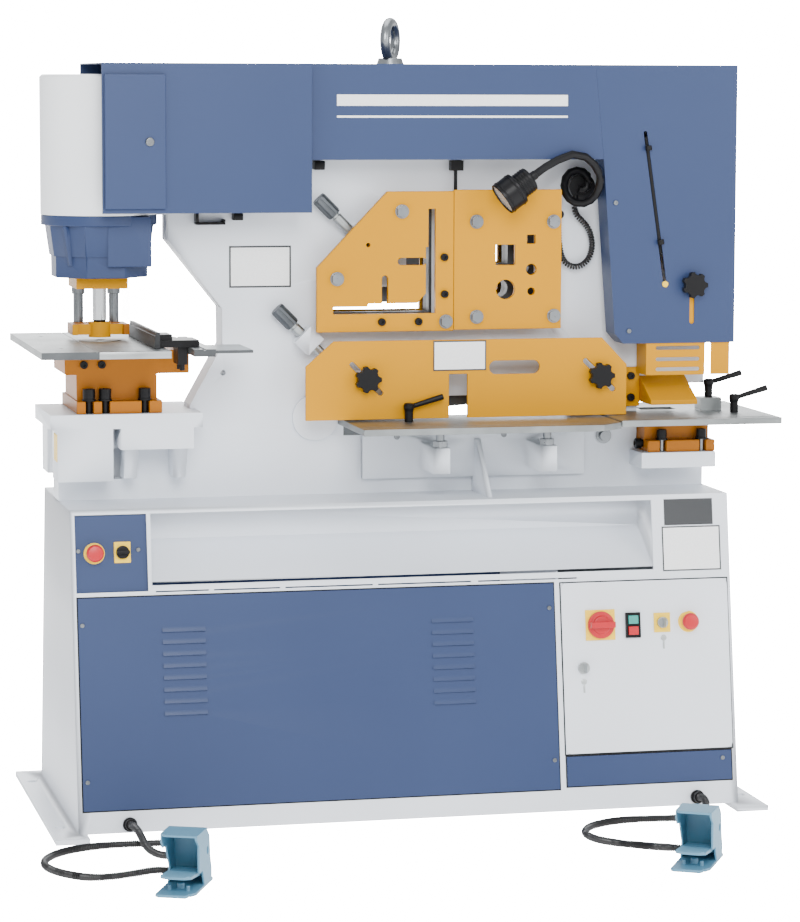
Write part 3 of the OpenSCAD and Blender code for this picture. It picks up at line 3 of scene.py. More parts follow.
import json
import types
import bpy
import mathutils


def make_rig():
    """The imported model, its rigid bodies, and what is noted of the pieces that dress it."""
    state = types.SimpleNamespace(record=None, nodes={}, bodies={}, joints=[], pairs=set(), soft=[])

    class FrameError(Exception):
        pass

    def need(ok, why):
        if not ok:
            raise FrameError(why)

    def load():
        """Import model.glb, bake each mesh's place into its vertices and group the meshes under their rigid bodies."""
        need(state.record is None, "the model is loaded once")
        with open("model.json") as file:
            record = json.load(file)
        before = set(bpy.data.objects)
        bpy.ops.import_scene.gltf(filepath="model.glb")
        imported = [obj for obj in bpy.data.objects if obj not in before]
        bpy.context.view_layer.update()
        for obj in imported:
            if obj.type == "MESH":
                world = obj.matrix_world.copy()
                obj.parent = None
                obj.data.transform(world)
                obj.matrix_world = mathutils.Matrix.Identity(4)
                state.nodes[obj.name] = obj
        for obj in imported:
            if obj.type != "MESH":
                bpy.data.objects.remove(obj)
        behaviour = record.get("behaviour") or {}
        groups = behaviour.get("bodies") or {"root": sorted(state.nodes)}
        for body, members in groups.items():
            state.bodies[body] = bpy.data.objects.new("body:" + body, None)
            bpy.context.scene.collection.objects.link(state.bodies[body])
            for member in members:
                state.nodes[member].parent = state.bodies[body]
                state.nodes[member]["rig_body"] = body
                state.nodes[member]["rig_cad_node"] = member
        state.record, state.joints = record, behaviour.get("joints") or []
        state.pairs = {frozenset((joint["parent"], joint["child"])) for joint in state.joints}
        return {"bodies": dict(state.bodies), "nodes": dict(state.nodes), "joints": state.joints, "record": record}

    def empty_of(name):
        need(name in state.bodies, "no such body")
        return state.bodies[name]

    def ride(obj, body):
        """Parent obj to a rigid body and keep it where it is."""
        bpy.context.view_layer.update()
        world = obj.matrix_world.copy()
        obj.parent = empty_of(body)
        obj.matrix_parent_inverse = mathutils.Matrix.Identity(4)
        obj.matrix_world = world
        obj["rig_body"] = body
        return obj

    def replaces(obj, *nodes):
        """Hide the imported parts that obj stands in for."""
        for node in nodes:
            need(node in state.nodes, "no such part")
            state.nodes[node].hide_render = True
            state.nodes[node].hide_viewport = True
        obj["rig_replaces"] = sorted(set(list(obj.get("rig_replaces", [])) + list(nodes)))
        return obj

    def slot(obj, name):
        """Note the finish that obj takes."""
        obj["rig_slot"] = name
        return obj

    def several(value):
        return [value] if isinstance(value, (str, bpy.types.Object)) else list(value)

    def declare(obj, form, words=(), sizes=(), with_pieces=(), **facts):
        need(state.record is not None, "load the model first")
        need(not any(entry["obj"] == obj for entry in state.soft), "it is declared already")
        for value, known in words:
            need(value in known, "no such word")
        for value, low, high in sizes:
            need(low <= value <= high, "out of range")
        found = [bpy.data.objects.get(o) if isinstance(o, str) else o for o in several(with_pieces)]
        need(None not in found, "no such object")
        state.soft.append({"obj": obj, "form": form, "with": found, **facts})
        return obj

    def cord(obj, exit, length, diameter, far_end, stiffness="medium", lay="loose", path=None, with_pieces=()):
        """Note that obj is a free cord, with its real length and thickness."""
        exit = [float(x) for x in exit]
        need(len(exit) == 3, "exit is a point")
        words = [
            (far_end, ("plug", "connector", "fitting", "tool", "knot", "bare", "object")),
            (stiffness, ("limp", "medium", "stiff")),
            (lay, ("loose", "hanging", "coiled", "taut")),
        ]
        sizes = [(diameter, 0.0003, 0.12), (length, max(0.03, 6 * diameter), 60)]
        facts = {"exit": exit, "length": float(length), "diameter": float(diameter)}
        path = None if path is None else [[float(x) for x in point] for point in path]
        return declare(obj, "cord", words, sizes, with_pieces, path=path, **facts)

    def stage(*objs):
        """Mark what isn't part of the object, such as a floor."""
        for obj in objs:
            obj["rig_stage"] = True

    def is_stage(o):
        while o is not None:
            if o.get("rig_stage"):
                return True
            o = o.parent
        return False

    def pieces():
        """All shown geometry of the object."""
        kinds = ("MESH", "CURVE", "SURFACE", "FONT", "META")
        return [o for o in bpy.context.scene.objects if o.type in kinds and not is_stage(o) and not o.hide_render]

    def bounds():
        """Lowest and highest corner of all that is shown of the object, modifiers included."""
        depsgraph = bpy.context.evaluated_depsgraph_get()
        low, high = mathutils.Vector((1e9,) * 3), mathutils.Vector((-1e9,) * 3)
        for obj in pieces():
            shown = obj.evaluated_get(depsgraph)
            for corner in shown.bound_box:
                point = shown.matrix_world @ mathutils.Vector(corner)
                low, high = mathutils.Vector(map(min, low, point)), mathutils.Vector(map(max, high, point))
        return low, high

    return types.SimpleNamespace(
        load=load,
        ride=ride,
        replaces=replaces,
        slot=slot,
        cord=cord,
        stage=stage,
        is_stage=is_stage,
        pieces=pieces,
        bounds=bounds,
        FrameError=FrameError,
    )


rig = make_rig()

bl_info = {
    "name": "Profile Shearing Machine",
    "version": (1, 0, 0),
    "blender": (4, 5, 0),
    "location": "View3D > Sidebar > Shearing Machine",
    "description": "Finishes a two-cylinder profile shearing machine and lights it in a studio",
    "category": "Object",
}

import json
import math

import bmesh
import bpy
from bpy.props import FloatProperty, FloatVectorProperty, IntProperty, PointerProperty
from mathutils import Matrix, Vector
from mathutils.bvhtree import BVHTree

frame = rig.load()
CAD_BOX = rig.bounds()
MACHINE = "machine"
MM = 0.001


def linear(hex_code):
    """An sRGB hex colour as the linear numbers that shaders and properties use."""
    parts = [int(hex_code[i:i + 2], 16) / 255 for i in (1, 3, 5)]
    return tuple(p / 12.92 if p <= 0.04045 else ((p + 0.055) / 1.055) ** 2.4 for p in parts)


def colour_setting(name, description, hex_code):
    return FloatVectorProperty(
        name=name, description=description, subtype="COLOR", size=3, min=0, max=1, default=linear(hex_code))


def length_setting(name, description, millimetres):
    return FloatProperty(
        name=name, description=description, unit="LENGTH", subtype="DISTANCE", default=millimetres * MM)


class ShearColours(bpy.types.PropertyGroup):
    """The coats, plastics and metals that show."""

    white: colour_setting("White coat", "Coat of the cabinet and frame", "#dadfe6")
    blue: colour_setting("Blue coat", "Coat of the covers and panels", "#26365a")
    yellow: colour_setting("Yellow coat", "Coat of the guards and shear plates", "#c28600")
    orange: colour_setting("Orange coat", "Coat of the die blocks", "#a05e00")
    pedal: colour_setting("Pedal coat", "Coat of the foot pedals", "#52829b")
    steel: colour_setting("Ground steel", "Tables, blades and bolts", "#a9adad")
    red: colour_setting("Red plastic", "Stop buttons and main switch", "#b3121f")
    green: colour_setting("Green plastic", "Start button", "#2b8f84")
    black: colour_setting("Black plastic", "Knobs, levers and the lamp", "#0c0c0e")


class ShearSizes(bpy.types.PropertyGroup):
    """Sizes that a user may change without leaving the frame."""

    conduit_rib: length_setting("Rib pitch", "Distance between the ribs of a conduit", 4.4)
    curl_wire: length_setting("Curly wire", "Diameter of the curly cord's own wire", 5.0)
    curl_turns: IntProperty(name="Curls", description="Turns in the curly cord", default=50, min=10, max=80)


# Materials

def node(tree, kind, settings=None, links=None):
    """Adds a node to a material, with its settings by attribute or socket and its links as socket: (node, output)."""
    made = tree.nodes.new(kind)
    for key, value in (settings or {}).items():
        if isinstance(key, int) or key in made.inputs:
            made.inputs[key].default_value = value
        else:
            setattr(made, key, value)
    for socket, (source, output) in (links or {}).items():
        tree.links.new(source.outputs[output], made.inputs[socket])
    return made


def new_material(name):
    """An empty node material and its tree."""
    material = bpy.data.materials.new(name)
    material.use_nodes = True
    tree = material.node_tree
    tree.nodes.clear()
    return material, tree


def finish_material(tree, shader):
    node(tree, "ShaderNodeOutputMaterial", links={"Surface": (shader, "BSDF")})


def rgba(colour, scale=1.0):
    """A colour with its alpha, made darker or lighter by a factor."""
    return (*[min(1.0, c * scale) for c in colour], 1.0)


def coat(name, colour, roughness, peel_mm=7.0, peel=0.12, sheen=0.5):
    """A sprayed machine enamel: even colour, a faint orange peel and soft reflections.

    Real orange peel is 1 to 3 mm across. It is drawn at `peel_mm`, as coarse as it needs to show.
    """
    material, tree = new_material(name)
    place = node(tree, "ShaderNodeTexCoord")
    clouds = node(tree, "ShaderNodeTexNoise", {"Scale": 2.2, "Detail": 2.0}, {"Vector": (place, "Object")})
    tone = node(tree, "ShaderNodeValToRGB", links={"Fac": (clouds, "Fac")})
    tone.color_ramp.elements[0].position = 0.3
    tone.color_ramp.elements[1].position = 0.7
    tone.color_ramp.elements[0].color = rgba(colour, 0.95)
    tone.color_ramp.elements[1].color = rgba(colour, 1.03)
    grain = node(tree, "ShaderNodeTexNoise", {"Scale": 1 / (peel_mm * MM), "Detail": 1.0},
                 {"Vector": (place, "Object")})
    bump = node(tree, "ShaderNodeBump", {"Strength": peel, "Distance": 0.4 * MM}, {"Height": (grain, "Fac")})
    gloss = node(tree, "ShaderNodeMapRange", {"To Min": roughness - 0.05, "To Max": roughness + 0.06},
                 {"Value": (clouds, "Fac")})
    shader = node(tree, "ShaderNodeBsdfPrincipled", {"IOR": 1.5, "Specular IOR Level": sheen},
                  {"Base Color": (tone, "Color"), "Normal": (bump, "Normal"), "Roughness": (gloss, "Result")})
    finish_material(tree, shader)
    return material


def ground_steel(name, colour, roughness, along=(1.0, 30.0, 30.0), dark=0.72):
    """Surface-ground steel: fine lines along the grinding, with grey patches from handling.

    Real grinding lines are finer than a pixel. `along` draws them about 2 mm apart, so that they show.
    """
    material, tree = new_material(name)
    place = node(tree, "ShaderNodeTexCoord")
    stretch = node(tree, "ShaderNodeMapping", {"Scale": along}, {"Vector": (place, "Object")})
    lines = node(tree, "ShaderNodeTexNoise", {"Scale": 14.0, "Detail": 4.0}, {"Vector": (stretch, "Vector")})
    patches = node(tree, "ShaderNodeTexNoise", {"Scale": 9.0, "Detail": 3.0}, {"Vector": (place, "Object")})
    tone = node(tree, "ShaderNodeValToRGB", links={"Fac": (patches, "Fac")})
    tone.color_ramp.elements[0].position = 0.32
    tone.color_ramp.elements[1].position = 0.68
    tone.color_ramp.elements[0].color = rgba(colour, dark)
    tone.color_ramp.elements[1].color = rgba(colour, 1.08)
    gloss = node(tree, "ShaderNodeMapRange", {"To Min": roughness - 0.1, "To Max": roughness + 0.12},
                 {"Value": (lines, "Fac")})
    bump = node(tree, "ShaderNodeBump", {"Strength": 0.1, "Distance": 0.2 * MM}, {"Height": (lines, "Fac")})
    shader = node(tree, "ShaderNodeBsdfPrincipled", {"Metallic": 1.0},
                  {"Base Color": (tone, "Color"), "Roughness": (gloss, "Result"), "Normal": (bump, "Normal")})
    finish_material(tree, shader)
    return material


def moulded(name, colour, roughness, grain_mm=3.0, depth=0.08, ior=1.46, sheen=0.5):
    """Moulded plastic: even colour with a fine matt grain.

    The real grain is under 0.2 mm. It is drawn at `grain_mm`, so that it shows.
    """
    material, tree = new_material(name)
    place = node(tree, "ShaderNodeTexCoord")
    grain = node(tree, "ShaderNodeTexNoise", {"Scale": 1 / (grain_mm * MM), "Detail": 2.0},
                 {"Vector": (place, "Object")})
    tone = node(tree, "ShaderNodeMix", {"data_type": "RGBA", "A": rgba(colour, 0.9), "B": rgba(colour, 1.1)},
                {"Factor": (grain, "Fac")})
    bump = node(tree, "ShaderNodeBump", {"Strength": depth, "Distance": 0.3 * MM}, {"Height": (grain, "Fac")})
    gloss = node(tree, "ShaderNodeMapRange", {"To Min": roughness - 0.05, "To Max": roughness + 0.08},
                 {"Value": (grain, "Fac")})
    shader = node(tree, "ShaderNodeBsdfPrincipled", {"IOR": ior, "Specular IOR Level": sheen},
                  {"Base Color": (tone, "Result"), "Normal": (bump, "Normal"), "Roughness": (gloss, "Result")})
    finish_material(tree, shader)
    return material


def clear_sheet(name):
    """Clear polycarbonate sheet, with soft scuffs about 17 mm apart, so that its edges and glints show."""
    material, tree = new_material(name)
    place = node(tree, "ShaderNodeTexCoord")
    scuff = node(tree, "ShaderNodeTexNoise", {"Scale": 60.0, "Detail": 3.0}, {"Vector": (place, "Object")})
    gloss = node(tree, "ShaderNodeMapRange", {"To Min": 0.03, "To Max": 0.18}, {"Value": (scuff, "Fac")})
    shader = node(tree, "ShaderNodeBsdfPrincipled", {"Base Color": (0.86, 0.9, 0.92, 1), "IOR": 1.58, "Alpha": 0.3},
                  {"Roughness": (gloss, "Result")})
    finish_material(tree, shader)
    return material


FLOOR_GLOW, SKY_GLOW = 1.1, 1.15  # how much light the floor and the sky throw on the machine
BACKDROP_SEEN = 30.0  # their brightness to the camera alone, so that both come out pure white


def pale_floor():
    """Studio paper that glows a little, and meets the sky without an edge because both are white."""
    material, tree = new_material("pale_studio_floor")
    place = node(tree, "ShaderNodeTexCoord")
    grain = node(tree, "ShaderNodeTexNoise", {"Scale": 3.0}, {"Vector": (place, "Object")})
    gloss = node(tree, "ShaderNodeMapRange", {"To Min": 0.7, "To Max": 0.8}, {"Value": (grain, "Fac")})
    seen = node(tree, "ShaderNodeLightPath")
    glow = node(tree, "ShaderNodeMapRange", {"To Min": FLOOR_GLOW, "To Max": BACKDROP_SEEN},
                {"Value": (seen, "Is Camera Ray")})
    shader = node(tree, "ShaderNodeBsdfPrincipled",
                  {"Base Color": (0.9, 0.9, 0.9, 1), "Emission Color": (1, 1, 1, 1)},
                  {"Roughness": (gloss, "Result"), "Emission Strength": (glow, "Result")})
    finish_material(tree, shader)
    return material


FINISH = {}


def finishes():
    """The machine's materials by name, made at the first call."""
    colours = bpy.context.scene.shear_colours
    if not FINISH:
        FINISH.update(
            # Two-part enamel sprayed on sheet and plate: even, half gloss, with a faint orange peel
            white_coat=coat("white_enamel", colours.white, 0.42),
            blue_coat=coat("blue_enamel", colours.blue, 0.42, sheen=0.35),
            yellow_coat=coat("yellow_enamel", colours.yellow, 0.36, peel_mm=5.0, sheen=0.08),
            # The same enamel over rough machined castings, which shows as a stronger peel
            orange_coat=coat("orange_enamel", colours.orange, 0.4, peel_mm=5.0, peel=0.3, sheen=0.2),
            # Hammer finish on cast aluminium: small dimples, drawn at 6 mm so that they show
            pedal_coat=coat("hammered_pedal_coat", colours.pedal, 0.42, peel_mm=6.0, peel=0.35),
            # Enamel on a honed and turned barrel: the glossiest coat
            cylinder_coat=coat("gloss_cylinder_enamel", linear("#eef1f3"), 0.3),
            # Ground steel: lines along the grinding; the tables' run front to back
            steel=ground_steel("ground_steel", colours.steel, 0.38),
            table_steel=ground_steel("ground_table_steel", linear("#8e9292"), 0.42, along=(30.0, 1.0, 30.0)),
            # Oil-blackened after grinding: nearly black and dull, with the same lines
            dark_steel=ground_steel("oil_blackened_steel", linear("#3a3b3c"), 0.5),
            # Rolled knurling: a fine grain with deep shade in it
            knurled_steel=ground_steel("knurled_steel", linear("#62666a"), 0.45, along=(90.0, 30.0, 90.0), dark=0.5),
            # Hardened blades: dark, mottled by oil, without a direction
            blade_steel=ground_steel("tool_steel", linear("#5d6062"), 0.45, along=(14.0, 14.0, 14.0), dark=0.6),
            # Bright zinc plating on bolts: sharper reflections, without a direction
            zinc=ground_steel("zinc_plated_steel", linear("#85898c"), 0.3, along=(12.0, 12.0, 12.0)),
            # Hard chrome on the ram: the brightest metal, with faint lines along its stroke
            chrome=ground_steel("hard_chrome", linear("#d2d5d6"), 0.16, along=(40.0, 40.0, 1.0), dark=0.9),
            # Injection-moulded knobs, buttons and housings: satin, with a fine eroded grain
            black=moulded("black_polyamide", colours.black, 0.36, sheen=0.22),
            red=moulded("red_moulded_plastic", colours.red, 0.32, depth=0.04),
            green=moulded("green_moulded_plastic", colours.green, 0.35, depth=0.04),
            yellow_plastic=moulded("yellow_moulded_plastic", linear("#f2c61c"), 0.4, depth=0.04),
            grey_plastic=moulded("grey_moulded_plastic", linear("#8d9194"), 0.45),
            # Corrugated nylon conduit and the curly wire: glossier, so that each rib catches the light
            rubber=moulded("black_corrugated_nylon", linear("#141415"), 0.32, depth=0.06, ior=1.52),
            clear=clear_sheet("clear_polycarbonate"),
            # Printed vinyl and anodised aluminium of the bare plates: flat and almost matt
            label=moulded("matt_label_vinyl", linear("#e9eaea"), 0.5, depth=0.03),
            dark_label=moulded("anodised_label_plate", linear("#2f3133"), 0.4, depth=0.03),
        )
    return FINISH


# Mesh helpers

def deselect_all():
    if bpy.context.object and bpy.context.object.mode != "OBJECT":
        bpy.ops.object.mode_set(mode="OBJECT")
    bpy.ops.object.select_all(action="DESELECT")


def activate(piece):
    deselect_all()
    piece.select_set(True)
    bpy.context.view_layer.objects.active = piece


def set_down(piece):
    """Bakes the object's place into its mesh, so that its own origin is the frame's."""
    activate(piece)
    bpy.ops.object.transform_apply(location=True, rotation=True, scale=True)


def apply_modifier(piece, kind, **settings):
    activate(piece)
    modifier = piece.modifiers.new(kind.title(), kind)
    for key, value in settings.items():
        setattr(modifier, key, value)
    bpy.ops.object.modifier_apply(modifier=modifier.name)


def hand_over(piece, finish, slot, body=MACHINE, node_names=()):
    """Gives a finished piece its material, its slot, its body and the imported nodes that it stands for."""
    piece.data.materials.clear()
    piece.data.materials.append(finishes()[finish])
    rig.ride(piece, body)
    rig.slot(piece, slot)
    if node_names:
        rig.replaces(piece, *node_names)
    return piece


def body_of_node(name):
    return frame["nodes"][name]["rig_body"]


SHARP = math.radians(38)  # an edge that bends more than this is broken
RUNS_ON = -0.8  # cosine past which two sharp edges count as one that runs on through their corner
# Which corners each try leaves sharp: those under an angle in radians, and those beside an edge under so many widths
BEVEL_TRIES = ((0, 0), (0.35, 1.0), (0.6, 2.2), (1.0, 4.0))
TORN_FLAT, TORN_BEVEL = 1, 40  # square millimetres of folded faces that a merged and a bevelled piece may have
STANDS_OFF = 0.75  # share of its width that a bevel's corner may lie off the old surface
MERGED = 0.01 * MM  # corners nearer than this are one
FLAT = math.radians(0.5)  # faces that meet flatter than this are one
# Faces that meet flatter than this shade as one surface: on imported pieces, on small fittings, and on round ones
SMOOTH_NODE, SMOOTH, SMOOTH_ROUND = math.radians(42), math.radians(35), math.radians(60)


def broken_edges(mesh, width, corner, shortest):
    """The sharp edges that can take a bevel: none ends in a tight corner or beside a very short edge."""
    shape = bmesh.new()
    shape.from_mesh(mesh)
    tight = set()
    for vertex in shape.verts:
        if any(loop.calc_angle() < corner for loop in vertex.link_loops):
            tight.add(vertex.index)
        sharp = [e for e in vertex.link_edges if e.calc_face_angle(0) > SHARP]
        for one in sharp:
            along = (one.other_vert(vertex).co - vertex.co).normalized()
            for other in sharp:
                turn = along.dot((other.other_vert(vertex).co - vertex.co).normalized())
                if other is not one and turn > RUNS_ON and other.calc_length() < shortest * width:
                    tight.add(vertex.index)
    picked = [e.index for e in shape.edges
              if e.calc_face_angle(0) > SHARP and not tight & {v.index for v in e.verts}]
    shape.free()
    return picked


def torn_area(mesh):
    """How much of the many-cornered faces, in square millimetres, their triangles cover twice or not at all."""
    mesh.calc_loop_triangles()
    covered = [0.0] * len(mesh.polygons)
    for triangle in mesh.loop_triangles:
        covered[triangle.polygon_index] += triangle.area
    return sum(abs(covered[p.index] - p.area) for p in mesh.polygons if len(p.vertices) > 4) / MM ** 2


def break_edges(piece, triangles, width):
    """Bevels the sharp edges, and leaves out the tight corners where a bevel would stand off the surface."""
    plain = piece.data
    surface = BVHTree.FromPolygons([v.co for v in plain.vertices], [p.vertices for p in plain.polygons])
    for faces in (plain, triangles):
        for corner, shortest in BEVEL_TRIES:
            piece.data = faces.copy()
            marks = piece.data.attributes.new("bevel_weight_edge", "FLOAT", "EDGE")
            for index in broken_edges(faces, width, corner, shortest):
                marks.data[index].value = 1.0
            apply_modifier(piece, "BEVEL", width=width, segments=2, limit_method="WEIGHT", loop_slide=False,
                           use_clamp_overlap=False, miter_outer="MITER_ARC")
            if torn_area(piece.data) < TORN_BEVEL and all(
                    surface.find_nearest(v.co)[3] < STANDS_OFF * width for v in piece.data.vertices):
                return
    piece.data = plain


def rounded_node(name, finish, width, slot):
    """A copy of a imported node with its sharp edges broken, as deburring and enamel leave them."""
    source = frame["nodes"][name]
    piece = bpy.data.objects.new(name + "_finished", source.data.copy())
    bpy.context.scene.collection.objects.link(piece)
    activate(piece)
    bpy.ops.object.mode_set(mode="EDIT")
    bpy.ops.mesh.select_all(action="SELECT")
    bpy.ops.mesh.remove_doubles(threshold=MERGED)
    bpy.ops.object.mode_set(mode="OBJECT")
    merged = piece.data.copy()
    bpy.ops.object.mode_set(mode="EDIT")
    bpy.ops.mesh.select_all(action="SELECT")
    bpy.ops.mesh.dissolve_limited(angle_limit=FLAT)
    bpy.ops.object.mode_set(mode="OBJECT")
    if torn_area(piece.data) > TORN_FLAT:
        piece.data = merged
    if width > 0:
        break_edges(piece, merged, width)
    bpy.ops.object.shade_smooth_by_angle(angle=SMOOTH_NODE)
    apply_modifier(piece, "WEIGHTED_NORMAL", keep_sharp=True, weight=80)
    hand_over(piece, finish, slot, body_of_node(name), (name,))
    for accent, chosen in ACCENTS.get(name, ()):
        piece.data.materials.append(finishes()[accent])
        for face in piece.data.polygons:
            if chosen(face.center / MM, face.normal):
                face.material_index = len(piece.data.materials) - 1


# The cabinet's leaning front: where its foot is, in millimetres, and how far it leans back
FRONT_Y, FRONT_Z = -338, 12
LEAN = math.atan2(113, 729)


def leaning(at):
    """A point in millimetres as the cabinet's leaning front sees it: across, height, and how far out of the face."""
    back, rise = at.y - FRONT_Y, at.z - FRONT_Z
    up = back * math.sin(LEAN) + rise * math.cos(LEAN)
    return at.x, FRONT_Z + up * math.cos(LEAN), rise * math.sin(LEAN) - back * math.cos(LEAN)


def on_controls(at, face, *controls):
    """Whether a point stands out of the door's or panel's face at one of the controls."""
    across, up, proud = leaning(at)
    return proud > face and any(abs(across - x) < reach and abs(up - z) < reach for x, z, reach in controls)


def facing_front(x, y, z):
    """A place on an upright front face, in millimetres, whose own z axis points out of the face."""
    return Matrix.Translation(Vector((x, y, z)) * MM) @ Matrix(((1, 0, 0), (0, 0, -1), (0, 1, 0))).to_4x4()


def on_front(x, z, out):
    """A place on the cabinet's leaning front, in millimetres, whose own z axis points out of the face."""
    sin, cos = math.sin(LEAN), math.cos(LEAN)
    up = (z - FRONT_Z) / cos
    at = Vector((x, FRONT_Y + up * sin - out * cos, FRONT_Z + up * cos + out * sin))
    return Matrix.Translation(at * MM) @ Matrix(((1, 0, 0), (0, sin, -cos), (0, cos, sin))).to_4x4()


def facing(direction, x, y, z):
    """A place in millimetres whose own z axis points along a direction."""
    turn = Vector(direction).to_track_quat("Z", "Y")
    return Matrix.Translation(Vector((x, y, z)) * MM) @ turn.to_matrix().to_4x4()


def block(name, low, high, edge):
    """A block between two corners in millimetres, with its edges broken."""
    low, high = Vector(low), Vector(high)
    deselect_all()
    bpy.ops.mesh.primitive_cube_add(size=1, location=(low + high) / 2 * MM, scale=(high - low) * MM)
    piece = bpy.context.object
    piece.name = name
    set_down(piece)
    apply_modifier(piece, "BEVEL", width=edge * MM, segments=2, limit_method="ANGLE")
    bpy.ops.object.shade_smooth_by_angle(angle=SMOOTH)
    return piece


def rimmed_plate(name, low, high, rim, sunk=0.35):
    """A thin plate whose face lies a little below a raised rim; its own z axis is its face's."""
    piece = block(name, low, high, 0.2)
    bpy.ops.object.mode_set(mode="EDIT")
    bpy.ops.mesh.select_all(action="DESELECT")
    bpy.ops.object.mode_set(mode="OBJECT")
    max(piece.data.polygons, key=lambda face: (face.normal.z > 0.99, face.area)).select = True
    bpy.ops.object.mode_set(mode="EDIT")
    bpy.ops.mesh.select_mode(type="FACE")
    bpy.ops.mesh.inset(thickness=rim * MM, depth=-sunk * MM)
    bpy.ops.object.mode_set(mode="OBJECT")
    return piece


def turned(name, rings, sides=24):
    """A turned piece through rings of (height, radius) in millimetres, closed at both ends."""
    deselect_all()
    bpy.ops.mesh.primitive_circle_add(vertices=sides, radius=rings[0][1] * MM, fill_type="NGON",
                                      location=(0, 0, rings[0][0] * MM))
    piece = bpy.context.object
    piece.name = name
    set_down(piece)
    bpy.ops.object.mode_set(mode="EDIT")
    bpy.ops.mesh.select_all(action="SELECT")
    for (height, radius), (next_height, next_radius) in zip(rings, rings[1:]):
        bpy.ops.mesh.extrude_region_move(TRANSFORM_OT_translate={"value": (0, 0, (next_height - height) * MM)})
        grow = next_radius / radius
        bpy.ops.transform.resize(value=(grow, grow, 1), center_override=(0, 0, next_height * MM))
    bpy.ops.mesh.select_all(action="SELECT")
    bpy.ops.mesh.normals_make_consistent(inside=False)
    bpy.ops.object.mode_set(mode="OBJECT")
    bpy.ops.object.shade_smooth_by_angle(angle=SMOOTH)
    return piece


def repeated(piece, places):
    """One piece set down at every place, each copy with its own mesh, all joined."""
    copies = []
    for place in places:
        copy = piece.copy()
        copy.data = piece.data.copy()
        bpy.context.scene.collection.objects.link(copy)
        copy.matrix_world = place
        copies.append(copy)
    name = piece.name
    bpy.data.objects.remove(piece)
    deselect_all()
    for copy in copies:
        copy.select_set(True)
    bpy.context.view_layer.objects.active = copies[0]
    if len(copies) > 1:
        bpy.ops.object.join()
    copies[0].name = name
    set_down(copies[0])
    return copies[0]


GRIP_START, GRIP_END = -2, 57  # where a spindle's knurled grip lies, in millimetres from the spindle's end


def on_grip(at, x, z):
    """Whether a point belongs to the grip of the 45° spindle whose end is at (x, z)."""
    return GRIP_START < (at.x - x - at.z + z) / math.sqrt(2) < GRIP_END


# Controls on the leaning front, in millimetres: across, height, and how far each reaches from its middle
MAIN_SWITCH, DOOR_STOP, KEY_SWITCH = (461, 440, 38), (680, 441, 26), (614, 441, 25)
BUTTON_BOX, DOOR_LOCK = (541, 437, 32), (417, 341, 18)
PANEL_STOP, SELECTOR = (-735, 642, 26), (-670, 643, 27)
DOOR_FACE, PANEL_FACE = 4.2, -5.8  # how far the faces that carry them lie out of that front

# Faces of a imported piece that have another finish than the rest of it, by their middle in millimetres
ACCENTS = {
    "stripper": (("zinc", lambda at, normal: 1146 < at.z < 1235.5 and at.y > 40),
                 ("orange_coat", lambda at, normal: at.z < 1152 and (at.y > 12.5 or at.x > -645))),
    "punch_ram": (("dark_steel", lambda at, normal: at.z < 1198.5),),
    "hex_bolts": (("black", lambda at, normal: abs(at.y) > 90 and (861 <= at.z <= 891 and at.x > 600
                                                                   or 958 <= at.z <= 1020)),),
    "punch_table": (("blade_steel", lambda at, normal: normal.y < -0.7 and at.x < -500),),
    "scale_rail": (("blade_steel", lambda at, normal: normal.y < -0.7),),
    "table_fence": (("black", lambda at, normal: at.x > -587),),
    "control_gear": (("black", lambda at, normal: at.y < 112),),
    "electrical_door": (
        ("yellow_plastic", lambda at, normal: on_controls(at, DOOR_FACE, MAIN_SWITCH, DOOR_STOP, KEY_SWITCH)),
        ("black", lambda at, normal: on_controls(at, DOOR_FACE, BUTTON_BOX, DOOR_LOCK))),
    "control_panel": (("yellow_plastic", lambda at, normal: on_controls(at, PANEL_FACE, PANEL_STOP, SELECTOR)),),
    "upper_spindle": (("knurled_steel", lambda at, normal: on_grip(at, -177, 1444)),),
    "lower_spindle": (("knurled_steel", lambda at, normal: on_grip(at, -277, 1186)),),
    "cover_door": (("zinc", lambda at, normal: at.y < -211 and abs(at.x + 597) < 12 and abs(at.z - 1578) < 12),),
}


def smooth_route(points, step):
    """A Catmull-Rom curve through the points, resampled at even steps."""
    parts = 12
    knots = [Vector(p) for p in points]
    ends = [knots[0] * 2 - knots[1], *knots, knots[-1] * 2 - knots[-2]]
    fine = []
    for before, start, end, after in zip(ends, ends[1:], ends[2:], ends[3:]):
        for i in range(parts):
            t = i / parts
            fine.append(0.5 * (2 * start + (end - before) * t + (2 * before - 5 * start + 4 * end - after) * t ** 2
                               + (3 * start - before - 3 * end + after) * t ** 3))
    fine.append(knots[-1])
    total = sum((b - a).length for a, b in zip(fine, fine[1:]))
    count = max(2, round(total / step))
    even, walked, i = [fine[0]], 0.0, 0
    for k in range(1, count):
        goal = total * k / count
        while walked + (fine[i + 1] - fine[i]).length < goal:
            walked += (fine[i + 1] - fine[i]).length
            i += 1
        even.append(fine[i].lerp(fine[i + 1], (goal - walked) / (fine[i + 1] - fine[i]).length))
    return [*even, fine[-1]]


def route_length(points):
    return sum((b - a).length for a, b in zip(points, points[1:]))


def turned_frames(points):
    """A side vector at each point of a route that turns as little as it can."""
    side = None
    for i, point in enumerate(points):
        ahead = (points[min(i + 1, len(points) - 1)] - points[max(i - 1, 0)]).normalized()
        if side is None:
            side = ahead.orthogonal().normalized()
        side = (side - ahead * side.dot(ahead)).normalized()
        yield point, side, ahead.cross(side)


